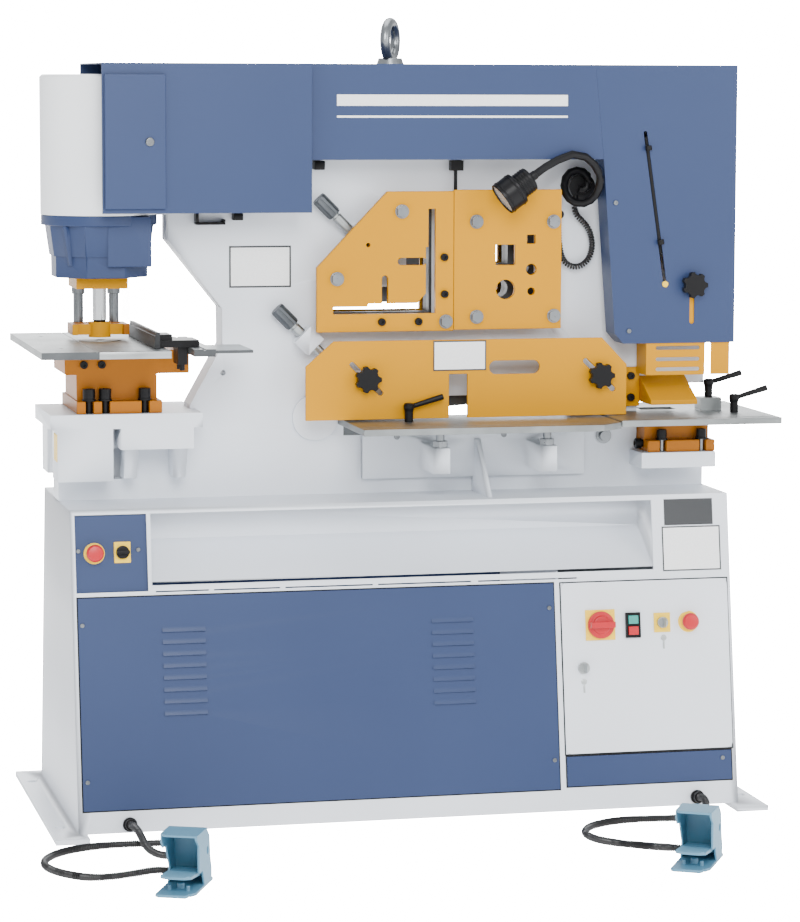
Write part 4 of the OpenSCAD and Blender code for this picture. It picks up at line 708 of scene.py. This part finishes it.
def swept_tube(name, points, radii, sides):
    """A closed tube along the points, with a radius for each."""
    shape = bmesh.new()
    rings = []
    for (point, side, other), radius in zip(turned_frames(points), radii):
        rings.append([shape.verts.new(point + radius * (math.cos(a) * side + math.sin(a) * other))
                      for a in [k * math.tau / sides for k in range(sides)]])
    for low, high in zip(rings, rings[1:]):
        for k in range(sides):
            shape.faces.new((low[k], low[(k + 1) % sides], high[(k + 1) % sides], high[k]))
    shape.faces.new(rings[0][::-1])
    shape.faces.new(rings[-1])
    bmesh.ops.recalc_face_normals(shape, faces=shape.faces)
    mesh = bpy.data.meshes.new(name)
    shape.to_mesh(mesh)
    shape.free()
    piece = bpy.data.objects.new(name, mesh)
    bpy.context.scene.collection.objects.link(piece)
    activate(piece)
    bpy.ops.object.shade_smooth_by_angle(angle=SMOOTH_ROUND)
    return piece


def metres(points):
    """The points of a route, turned from millimetres to metres."""
    return [tuple(c * MM for c in p) for p in points]


# Cords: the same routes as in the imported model

LEFT_ROUTE = metres([
    (-672, -359.8, 32.8), (-671.5, -384, 36), (-669, -415, 36), (-667, -445, 33), (-665, -475, 27), (-663, -505, 20),
    (-655, -535, 13), (-638, -562, 9), (-610, -578, 9), (-578, -573, 9), (-550, -552, 9), (-537, -520, 9),
    (-543, -487, 9), (-565, -462, 9), (-598, -450, 9), (-640, -447, 9), (-690, -445, 9), (-745, -446, 9),
    (-800, -460, 9), (-850, -492, 9), (-886, -540, 9), (-900, -592, 9), (-893, -645, 9), (-865, -697, 9),
    (-822, -736, 9), (-775, -752, 12), (-730, -757, 17), (-695, -756, 21), (-675, -757, 22),
    (-659.3, -761.9, 22), (-646, -767.9, 22)])
RIGHT_ROUTE = metres([
    (687, -359.8, 32.8), (687, -384, 36), (686, -406, 29), (677, -425, 18), (657, -444, 11), (630, -454, 9),
    (590, -457, 9), (545, -453, 9), (500, -450, 9), (455, -455, 9), (412, -472, 9), (375, -500, 9),
    (351, -540, 9), (343, -585, 9), (355, -632, 9), (386, -672, 9), (425, -702, 9), (450, -735, 12),
    (460, -765, 17), (468, -788, 21), (482, -800.2, 22), (495.3, -807.9, 22)])
CURL_ROUTE = metres([
    (453, -62, 1424), (453, -62, 1411), (460, -62, 1397), (473, -62, 1384), (487, -62, 1366), (495, -62, 1342),
    (495, -62, 1316), (484, -62, 1291), (462, -62, 1277), (438, -62, 1281), (422, -62, 1300), (415, -62, 1330),
    (413, -62, 1360), (412, -62, 1390.7)])
CONDUIT_D = 18 * MM
CONDUIT_GROOVE = 2 * MM  # how deep the conduit is between its ribs
CURL_D = 16 * MM  # across the turns of the curly cord


class SHEAR_OT_pedal_conduits(bpy.types.Operator):
    """Lay the two ribbed conduits from the cabinet to the foot pedals"""

    bl_idname = "shear.pedal_conduits"
    bl_label = "Pedal conduits"

    def execute(self, context):
        pitch = context.scene.shear_sizes.conduit_rib
        for side, points in (("left", LEFT_ROUTE), ("right", RIGHT_ROUTE)):
            line = smooth_route(points, pitch / 4)
            radii = [CONDUIT_D / 2 - (0.0 if i % 4 < 2 else CONDUIT_GROOVE) for i in range(len(line))]
            piece = swept_tube(side + "_ribbed_conduit", line, radii, 16)
            hand_over(piece, "rubber", "black_rubber", node_names=(side + "_conduit",))
            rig.cord(piece, exit=points[0], length=round(route_length(line), 3), diameter=CONDUIT_D, far_end="object",
                    stiffness="stiff", lay="loose", path=[tuple(p) for p in line[::4]] + [tuple(line[-1])])
        return {"FINISHED"}


class SHEAR_OT_lamp_cord(bpy.types.Operator):
    """Wind the lamp's curly cord along its hanging loop"""

    bl_idname = "shear.lamp_cord"
    bl_label = "Lamp cord"

    def execute(self, context):
        sizes = context.scene.shear_sizes
        per_turn = 14
        wire = sizes.curl_wire / 2
        steps = sizes.curl_turns * per_turn
        line = smooth_route(CURL_ROUTE, route_length([Vector(p) for p in CURL_ROUTE]) / steps)
        radius = CURL_D / 2 - wire
        helix = []
        for i, (point, side, other) in enumerate(turned_frames(line)):
            a = i * math.tau / per_turn
            near_end = min(1.0, i / per_turn, (len(line) - 1 - i) / per_turn)
            helix.append(point + radius * near_end * (math.cos(a) * side + math.sin(a) * other))
        piece = swept_tube("curly_lamp_cord", helix, [wire] * len(helix), 6)
        hand_over(piece, "rubber", "black_rubber", node_names=("lamp_cord",))
        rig.cord(piece, exit=tuple(helix[0]), length=round(route_length(helix), 3), diameter=wire * 2,
                far_end="object", stiffness="medium", lay="hanging", path=[tuple(p) for p in helix])
        return {"FINISHED"}


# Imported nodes: finish, width of the broken edges in millimetres, and the record's slot.
# The right cover's edges stay as folded, because a bevel would show as lines across its large faces.

NODE_FINISH = {
    "base_cabinet": ("white_coat", 1.5, "white_paint"),
    "cabinet_panels": ("blue_coat", 0.8, "blue_paint"),
    "control_panel": ("blue_coat", 1.0, "blue_paint"),
    "selector_knob": ("black", 1.0, "black_plastic"),
    "panel_stop_button": ("red", 1.0, "red_plastic"),
    "electrical_door": ("white_coat", 1.5, "white_paint"),
    "control_gear": ("grey_plastic", 1.0, "bare_steel"),
    "main_switch_knob": ("red", 1.2, "red_plastic"),
    "start_button": ("green", 1.0, "green_plastic"),
    "stop_button": ("red", 1.0, "red_plastic"),
    "switch_key": ("steel", 0.4, "bare_steel"),
    "door_stop_button": ("red", 1.0, "red_plastic"),
    "door_lock": ("steel", 0.4, "bare_steel"),
    "main_frame": ("white_coat", 1.5, "white_paint"),
    "pivot_pin": ("white_coat", 1.0, "bare_steel"),
    "shear_beam": ("dark_steel", 1.5, "dark_steel"),
    "beam_blades": ("blade_steel", 0.5, "bare_steel"),
    "fixed_blades": ("blade_steel", 0.5, "bare_steel"),
    "punch_cylinder": ("cylinder_coat", 1.5, "white_paint"),
    "punch_head": ("blue_coat", 2.0, "blue_paint"),
    "punch_ram": ("chrome", 0.6, "chrome"),
    "stripper": ("yellow_coat", 1.2, "yellow_paint"),
    "clear_guards": ("clear", 0.4, "clear_plastic"),
    "punch_die": ("steel", 0.8, "bare_steel"),
    "punch_bolster": ("orange_coat", 2.0, "orange_paint"),
    "hex_bolts": ("zinc", 0.6, "bare_steel"),
    "punch_table": ("table_steel", 0.8, "bare_steel"),
    "scale_rail": ("steel", 0.8, "bare_steel"),
    "table_fence": ("dark_steel", 0.8, "bare_steel"),
    "left_cover": ("blue_coat", 2.0, "blue_paint"),
    "cover_door": ("blue_coat", 2.0, "blue_paint"),
    "beam_cover": ("blue_coat", 2.0, "blue_paint"),
    "right_cover": ("blue_coat", 0, "blue_paint"),
    "stroke_rod": ("black", 0.8, "dark_steel"),
    "eyebolt": ("zinc", 0.8, "bare_steel"),
    "angle_shear_plate": ("yellow_coat", 1.2, "yellow_paint"),
    "bar_shear_plate": ("yellow_coat", 1.2, "yellow_paint"),
    "upper_spindle": ("steel", 0.8, "bare_steel"),
    "lower_spindle": ("steel", 0.8, "bare_steel"),
    "flat_shear_guard": ("yellow_coat", 1.2, "yellow_paint"),
    "guard_knob_left": ("black", 1.5, "black_plastic"),
    "guard_knob_right": ("black", 1.5, "black_plastic"),
    "flat_table": ("table_steel", 1.0, "bare_steel"),
    "table_lever": ("black", 1.0, "black_plastic"),
    "notch_guard": ("yellow_coat", 0.6, "yellow_paint"),
    "notch_guard_knob": ("black", 1.5, "black_plastic"),
    "notch_hood": ("yellow_coat", 1.5, "yellow_paint"),
    "notch_bolster": ("orange_coat", 2.0, "orange_paint"),
    "notch_table": ("table_steel", 1.0, "bare_steel"),
    "notch_lever_front": ("black", 1.0, "black_plastic"),
    "notch_lever_back": ("black", 1.0, "black_plastic"),
    "left_pedal": ("pedal_coat", 1.2, "pedal_paint"),
    "left_pedal_plate": ("pedal_coat", 0.8, "pedal_paint"),
    "right_pedal": ("pedal_coat", 1.2, "pedal_paint"),
    "right_pedal_plate": ("pedal_coat", 0.8, "pedal_paint"),
    "cable_glands": ("black", 1.0, "black_plastic"),
    "work_lamp": ("black", 1.0, "black_plastic"),
}


class SHEAR_OT_packed_nodes(bpy.types.Operator):
    """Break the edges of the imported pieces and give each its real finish"""

    bl_idname = "shear.packed_nodes"
    bl_label = "Machine pieces"

    def execute(self, context):
        for name, (finish, edge, slot) in NODE_FINISH.items():
            rounded_node(name, finish, edge * MM, slot)
        return {"FINISHED"}


# Small fittings

# Where the upright faces that carry them stand in y, in millimetres
FRAME_FRONT, PLATE_FRONT, COVER_FRONT, BOLSTER_FRONT, FLANGE_FRONT = -45, -115, -158, -100, -57
SUNK = 0.2  # how far, in millimetres, a screw or tip reaches into what carries it

# Socket screws: finish, width and height of the head in millimetres, and their places
SCREWS = (
    ("plate_socket_screws", "black", 18, 9, [facing_front(x, y, z) for x, y, z in (
        (117, PLATE_FRONT, 1305), (118, PLATE_FRONT, 1218), (-34, PLATE_FRONT, 1154), (55, PLATE_FRONT, 1154),
        (-737, BOLSTER_FRONT, 1063), (-695.5, BOLSTER_FRONT, 1063),
        (598, FLANGE_FRONT, 1011.5), (598, FLANGE_FRONT, 959.3))]),
    ("slab_socket_screws", "zinc", 13, 6, [facing_front(x, -65, 876) for x in (15, 279)]),
    ("cover_screws", "zinc", 11, 4, [facing_front(x, COVER_FRONT, z) for x, z in ((525, 1432), (561, 1127))]),
    ("panel_screws", "zinc", 10, 3, [on_front(x, z, out) for x, z, out in (
        (-768, 480, 2.8), (-766, 127, 2.8), (338, 484, 2.8), (339, 130, 2.8), (754, 118, 2.8),
        (-771.5, 648, -6.3), (-633, 648, -6.3))]),
)


class SHEAR_OT_screws(bpy.types.Operator):
    """Set the socket screws of the plates, covers and panels"""

    bl_idname = "shear.screws"
    bl_label = "Screws"

    def execute(self, context):
        for name, finish, across, high, places in SCREWS:
            r, edge = across / 2, 0.8
            head = turned(name, [(-SUNK, r), (high - edge, r), (high, r - edge), (high, r * 0.5),
                                 (high * 0.5, r * 0.48)])
            hand_over(repeated(head, places), finish, "bare_steel" if finish == "zinc" else "black_plastic")
        return {"FINISHED"}


# Bare plates: the node that carries each, finish, place, then width, height and rim in millimetres
BARE_PLATES = (
    ("frame_plate", "main_frame", "label", facing_front(-311, FRAME_FRONT, 1283), 148, 98, 4),
    ("guard_plate", "flat_shear_guard", "label", facing_front(147.5, -150, 1074.5), 129, 71, 3),
    ("cabinet_dark_plate", "base_cabinet", "dark_label", on_front(690.5, 699, 0), 121, 62, 4),
    ("cabinet_pale_plate", "base_cabinet", "label", on_front(695.5, 613, 0), 145, 106, 3),
    ("pedestal_plate", "main_frame", "yellow_plastic", facing((-1, 0, 0), -804, -106.5, 873), 54, 63, 3),
)


class SHEAR_OT_bare_plates(bpy.types.Operator):
    """Fix the bare plates and the plain stripes of the beam cover"""

    bl_idname = "shear.bare_plates"
    bl_label = "Bare plates"

    def execute(self, context):
        for name, carrier, finish, place, wide, high, rim in BARE_PLATES:
            plate = rimmed_plate(name, (-wide / 2, -high / 2, 0), (wide / 2, high / 2, 1.2), rim)
            white = finish == "label"
            plate = hand_over(repeated(plate, [place]), "dark_label" if white else finish,
                              "white_paint" if white else "black_plastic", body_of_node(carrier))
            if white:  # the face alone, inside a dark rim
                outward = place.to_3x3() @ Vector((0, 0, 1))
                plate.data.materials.append(finishes()["label"])
                faces = [f for f in plate.data.polygons if f.normal.dot(outward) > 0.9]
                max(faces, key=lambda f: f.area).material_index = 1
        for name, z, high in (("cover_stripe", 1673, 26), ("cover_fine_stripe", 1635, 5)):
            stripe = rimmed_plate(name, (-278, -high / 2, 0), (278, high / 2, 0.8), 1)
            hand_over(repeated(stripe, [facing_front(127, COVER_FRONT, z)]), "label", "white_paint")
        return {"FINISHED"}


REAR_STEP = 160.4  # millimetres from a front plate to its rear twin, which starts at the frame's back face


class SHEAR_OT_rear_plates(bpy.types.Operator):
    """Set a rear guide plate behind each shear plate, so that the stock leaves through the same shapes"""

    bl_idname = "shear.rear_plates"
    bl_label = "Rear guide plates"

    def execute(self, context):
        for name in ("angle_shear_plate", "bar_shear_plate"):
            plate = bpy.data.objects.new(name.replace("shear", "rear"), frame["nodes"][name].data.copy())
            context.scene.collection.objects.link(plate)
            plate.location.y += REAR_STEP * MM
            set_down(plate)
            hand_over(plate, "yellow_coat", "yellow_paint")
        return {"FINISHED"}


# Brackets: two corners and the width of the broken edges in millimetres, finish, slot
BRACKETS = (
    ("hood_flange", (575, FLANGE_FRONT, 937), (621, FRAME_FRONT, 1032), 1.5, "yellow_coat", "yellow_paint"),
    ("table_front_strip", (-735, -347, 1095.5), (-572, -345, 1111.5), 0.6, "steel", "bare_steel"),
    ("frame_stop_left", (-379, -75, 1393), (-356, FRAME_FRONT, 1410), 2, "black", "black_plastic"),
    ("frame_stop_right", (-186, -75, 1510), (-161, FRAME_FRONT, 1531), 2, "black", "black_plastic"),
    ("frame_rest_post", (-468, -75, 1389), (-461, FRAME_FRONT, 1412), 2, "black", "black_plastic"),
    ("frame_rest", (-468, -75, 1383), (-398, FRAME_FRONT, 1389), 2, "black", "black_plastic"),
    ("frame_rest_lip", (-404, -75, 1389), (-398, FRAME_FRONT, 1396), 2, "black", "black_plastic"),
)


class SHEAR_OT_fittings(bpy.types.Operator):
    """Add the brackets, the notcher's adjusting screw and the yellow tip of the stroke slot"""

    bl_idname = "shear.fittings"
    bl_label = "Fittings"

    def execute(self, context):
        for name, low, high, edge, finish, slot in BRACKETS:
            hand_over(block(name, low, high, edge), finish, slot)
        screw = turned("notcher_adjusting_screw", [
            (-SUNK, 9), (5, 9), (5, 12.5), (18, 12.5), (20, 11), (20, 6), (14, 5.8)])
        hand_over(repeated(screw, [facing((-1, 0, 0), 620, -90, 850)]), "black", "black_plastic")
        tip = turned("stroke_slot_tip", [(-SUNK, 7.5), (2.4, 7.5), (3.4, 6.5)])
        hand_over(repeated(tip, [facing_front(650, COVER_FRONT, 1238)]), "yellow_plastic", "yellow_paint")
        return {"FINISHED"}


# Dark strips on the leaning front that paint the shade in the gaps, by the openings that they go around: left, right,
# low and high in millimetres
SEAM_SHADES = (
    ("louvred_panel_seam_shade", -777, 350, 62, 541),
    ("plinth_panel_seam_shade", 369, 776, 67, 136),
    ("door_seam_shade", 368, 780, 142, 540),
)


class SHEAR_OT_seam_shades(bpy.types.Operator):
    """Lay a dark strip as painted shade in the gaps around the panels and the door, and hang the two keys"""

    bl_idname = "shear.seams"
    bl_label = "Seams and keys"

    def execute(self, context):
        for name, left, right, low, high in SEAM_SHADES:
            across, up = (right - left) / 2, (high - low) / 2 / math.cos(LEAN)
            middle = on_front((left + right) / 2, (low + high) / 2, 0)
            half, thick, edge = 1.5, 0.6, 0.2
            strip = block(name, (-across - 2 * half, -half, 0), (across + 2 * half, half, thick), edge)
            post = block(name + "_post", (-half, -up, 0), (half, up, thick), edge)
            for piece, steps in ((strip, ((0, -up - half), (0, up + half))),
                                 (post, ((-across - half, 0), (across + half, 0)))):
                places = [middle @ Matrix.Translation(Vector((x, y, 0)) * MM) for x, y in steps]
                # black strips that paint the shade in the gaps around the panels and the door
                hand_over(repeated(piece, places), "black", "black_rubber")
        door = body_of_node("electrical_door")
        for name, x, z in (("door_key", 417, 309), ("switch_spare_key", 617, 405)):
            bow = turned(name, [(0, 6.5), (0.3, 7), (1.2, 7), (1.5, 6.5)])
            blade = block(name + "_blade", (-2.2, -26, 0.2), (2.2, -6, 1.3), 0.3)
            for piece in (bow, blade):
                hand_over(repeated(piece, [on_front(x, z, 4.1)]), "steel", "bare_steel", door)
        return {"FINISHED"}


# The work lamp's head: the middle of its front rim in millimetres, and the way from there to its back
LAMP_FRONT = Vector((240, -182, 1442))
LAMP_BACK = Vector((70, 0, 51)).normalized()


class SHEAR_OT_lamp_head(bpy.types.Operator):
    """Put the lens and the cooling ribs on the work lamp's head"""

    bl_idname = "shear.lamp_head"
    bl_label = "Lamp head"

    def execute(self, context):
        lens = turned("lamp_lens", [(5.8, 36.6), (4.2, 36.6), (2.4, 34), (1.6, 20)], 40)
        hand_over(repeated(lens, [facing(LAMP_BACK, *LAMP_FRONT)]), "clear", "clear_plastic")
        for name, radius, steps in (("lamp_front_rib", 40, (9, 38)), ("lamp_back_rib", 30, (54, 61, 68, 75))):
            deselect_all()
            bpy.ops.mesh.primitive_torus_add(major_radius=radius * MM, minor_radius=1.6 * MM,
                                             major_segments=48, minor_segments=8)
            rib = bpy.context.object
            rib.name = name
            bpy.ops.object.mode_set(mode="EDIT")
            bpy.ops.mesh.select_all(action="SELECT")
            bpy.ops.transform.resize(value=(1, 1, 1.3), center_override=(0, 0, 0))
            bpy.ops.object.mode_set(mode="OBJECT")
            bpy.ops.object.shade_smooth_by_angle(angle=SMOOTH_ROUND)
            places = [facing(LAMP_BACK, *(LAMP_FRONT + LAMP_BACK * step)) for step in steps]
            hand_over(repeated(rib, places), "black", "black_plastic")
        return {"FINISHED"}


# Marks of the scale rail, in millimetres: their left ends, the first one, the rail's top, and their spacing
SCALE_X, SCALE_Y, SCALE_Z, SCALE_STEP = -508, -296, 1112, 10
SCALE_MARKS = 37


class SHEAR_OT_scale_marks(bpy.types.Operator):
    """Mark the scale rail at each centimetre, with a longer mark at each fifth"""

    bl_idname = "shear.scale_marks"
    bl_label = "Scale marks"

    def execute(self, context):
        for name, length, steps in (("scale_marks", 8, [i for i in range(SCALE_MARKS) if i % 5]),
                                    ("scale_long_marks", 14, range(0, SCALE_MARKS, 5))):
            mark = block(name, (SCALE_X, -0.6, SCALE_Z - 0.1), (SCALE_X + length, 0.6, SCALE_Z + 0.15), 0.05)
            places = [Matrix.Translation((0, (SCALE_Y + SCALE_STEP * i) * MM, 0)) for i in steps]
            hand_over(repeated(mark, places), "dark_label", "black_plastic")
        return {"FINISHED"}


# Studio: the photograph's camera in metres and radians, its lens in millimetres

CAMERA_AT = Vector((-1.7817, -7.6835, 1.7104))
CAMERA_TURN = math.radians(13.331)
CAMERA_DIP = math.radians(6.505)
CAMERA_ROLL = 0.00292
CAMERA_LENS = 129.09


class SHEAR_OT_studio(bpy.types.Operator):
    """Set the camera, the pale floor and the soft lights"""

    bl_idname = "shear.studio"
    bl_label = "Studio"

    def execute(self, context):
        ahead = Vector((math.sin(CAMERA_TURN) * math.cos(CAMERA_DIP), math.cos(CAMERA_TURN) * math.cos(CAMERA_DIP),
                        -math.sin(CAMERA_DIP)))
        level = Vector((math.cos(CAMERA_TURN), -math.sin(CAMERA_TURN), 0))
        above = level.cross(ahead)
        right = math.cos(CAMERA_ROLL) * level + math.sin(CAMERA_ROLL) * above
        up = -math.sin(CAMERA_ROLL) * level + math.cos(CAMERA_ROLL) * above
        data = bpy.data.cameras.new("photo_camera")
        data.lens, data.sensor_width, data.clip_end = CAMERA_LENS, 36.0, 100.0
        camera = bpy.data.objects.new("photo_camera", data)
        camera.matrix_world = Matrix.Translation(CAMERA_AT) @ Matrix((right, up, -ahead)).transposed().to_4x4()
        context.scene.collection.objects.link(camera)
        context.scene.camera = camera

        deselect_all()
        bpy.ops.mesh.primitive_plane_add(size=60)
        floor = context.object
        floor.name = "studio_floor"
        floor.data.materials.append(pale_floor())
        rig.stage(floor)
        world = bpy.data.worlds.new("studio")
        world.use_nodes = True
        tree = world.node_tree
        tree.nodes.clear()
        seen = node(tree, "ShaderNodeLightPath")
        strength = node(tree, "ShaderNodeMapRange", {"To Min": SKY_GLOW, "To Max": BACKDROP_SEEN},
                        {"Value": (seen, "Is Camera Ray")})
        sky = node(tree, "ShaderNodeBackground", {"Color": (*linear("#fbfcff"), 1)},
                   {"Strength": (strength, "Result")})
        node(tree, "ShaderNodeOutputWorld", links={"Surface": (sky, "Background")})
        context.scene.world = world
        for name, place, aim, size, power in (
                ("key_softbox", (-0.9, -5.2, 3.6), (0, 0, 1.0), 2.4, 290),
                ("fill_softbox", (3.8, -4.5, 2.6), (0, 0, 0.9), 2.6, 120),
                ("top_softbox", (0.2, 0.8, 4.6), (0, 0, 0.9), 3.0, 130),
                ("back_softbox", (0.4, 4.6, 2.0), (0, 0, 0.9), 4.5, 260)):
            lamp = bpy.data.lights.new(name, "AREA")
            lamp.shape, lamp.size, lamp.energy = "SQUARE", size, power
            light = bpy.data.objects.new(name, lamp)
            light.location = place
            light.rotation_mode = "QUATERNION"
            light.rotation_quaternion = (Vector(aim) - Vector(place)).to_track_quat("-Z", "Y")
            light.visible_camera = False
            context.scene.collection.objects.link(light)
        return {"FINISHED"}


# The operators in the order that they run in
STEPS = (
    SHEAR_OT_studio, SHEAR_OT_pedal_conduits, SHEAR_OT_lamp_cord, SHEAR_OT_packed_nodes, SHEAR_OT_screws,
    SHEAR_OT_bare_plates, SHEAR_OT_rear_plates, SHEAR_OT_fittings, SHEAR_OT_seam_shades, SHEAR_OT_lamp_head,
    SHEAR_OT_scale_marks,
)


class SHEAR_PT_machine(bpy.types.Panel):
    """Steps that dress the machine, in order"""

    bl_label = "Shearing Machine"
    bl_idname = "SHEAR_PT_machine"
    bl_space_type = "VIEW_3D"
    bl_region_type = "UI"
    bl_category = "Shearing Machine"

    def draw(self, context):
        layout = self.layout
        for group in (context.scene.shear_colours, context.scene.shear_sizes):
            for name in group.bl_rna.properties.keys():
                if name not in ("rna_type", "name"):
                    layout.prop(group, name)
        for step in STEPS:
            layout.operator(step.bl_idname)


CLASSES = (ShearColours, ShearSizes, *STEPS, SHEAR_PT_machine)


def register():
    for cls in CLASSES:
        bpy.utils.register_class(cls)
    bpy.types.Scene.shear_colours = PointerProperty(type=ShearColours)
    bpy.types.Scene.shear_sizes = PointerProperty(type=ShearSizes)


def unregister():
    del bpy.types.Scene.shear_colours, bpy.types.Scene.shear_sizes
    for cls in reversed(CLASSES):
        bpy.utils.unregister_class(cls)


def main():
    register()
    for step in STEPS:
        group, name = step.bl_idname.split(".")
        getattr(getattr(bpy.ops, group), name)()
    with open("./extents.json", "w") as out:
        json.dump({"cad": [list(c) for c in CAD_BOX], "visual": [list(c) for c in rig.bounds()]}, out)


if __name__ == "__main__":
    main()
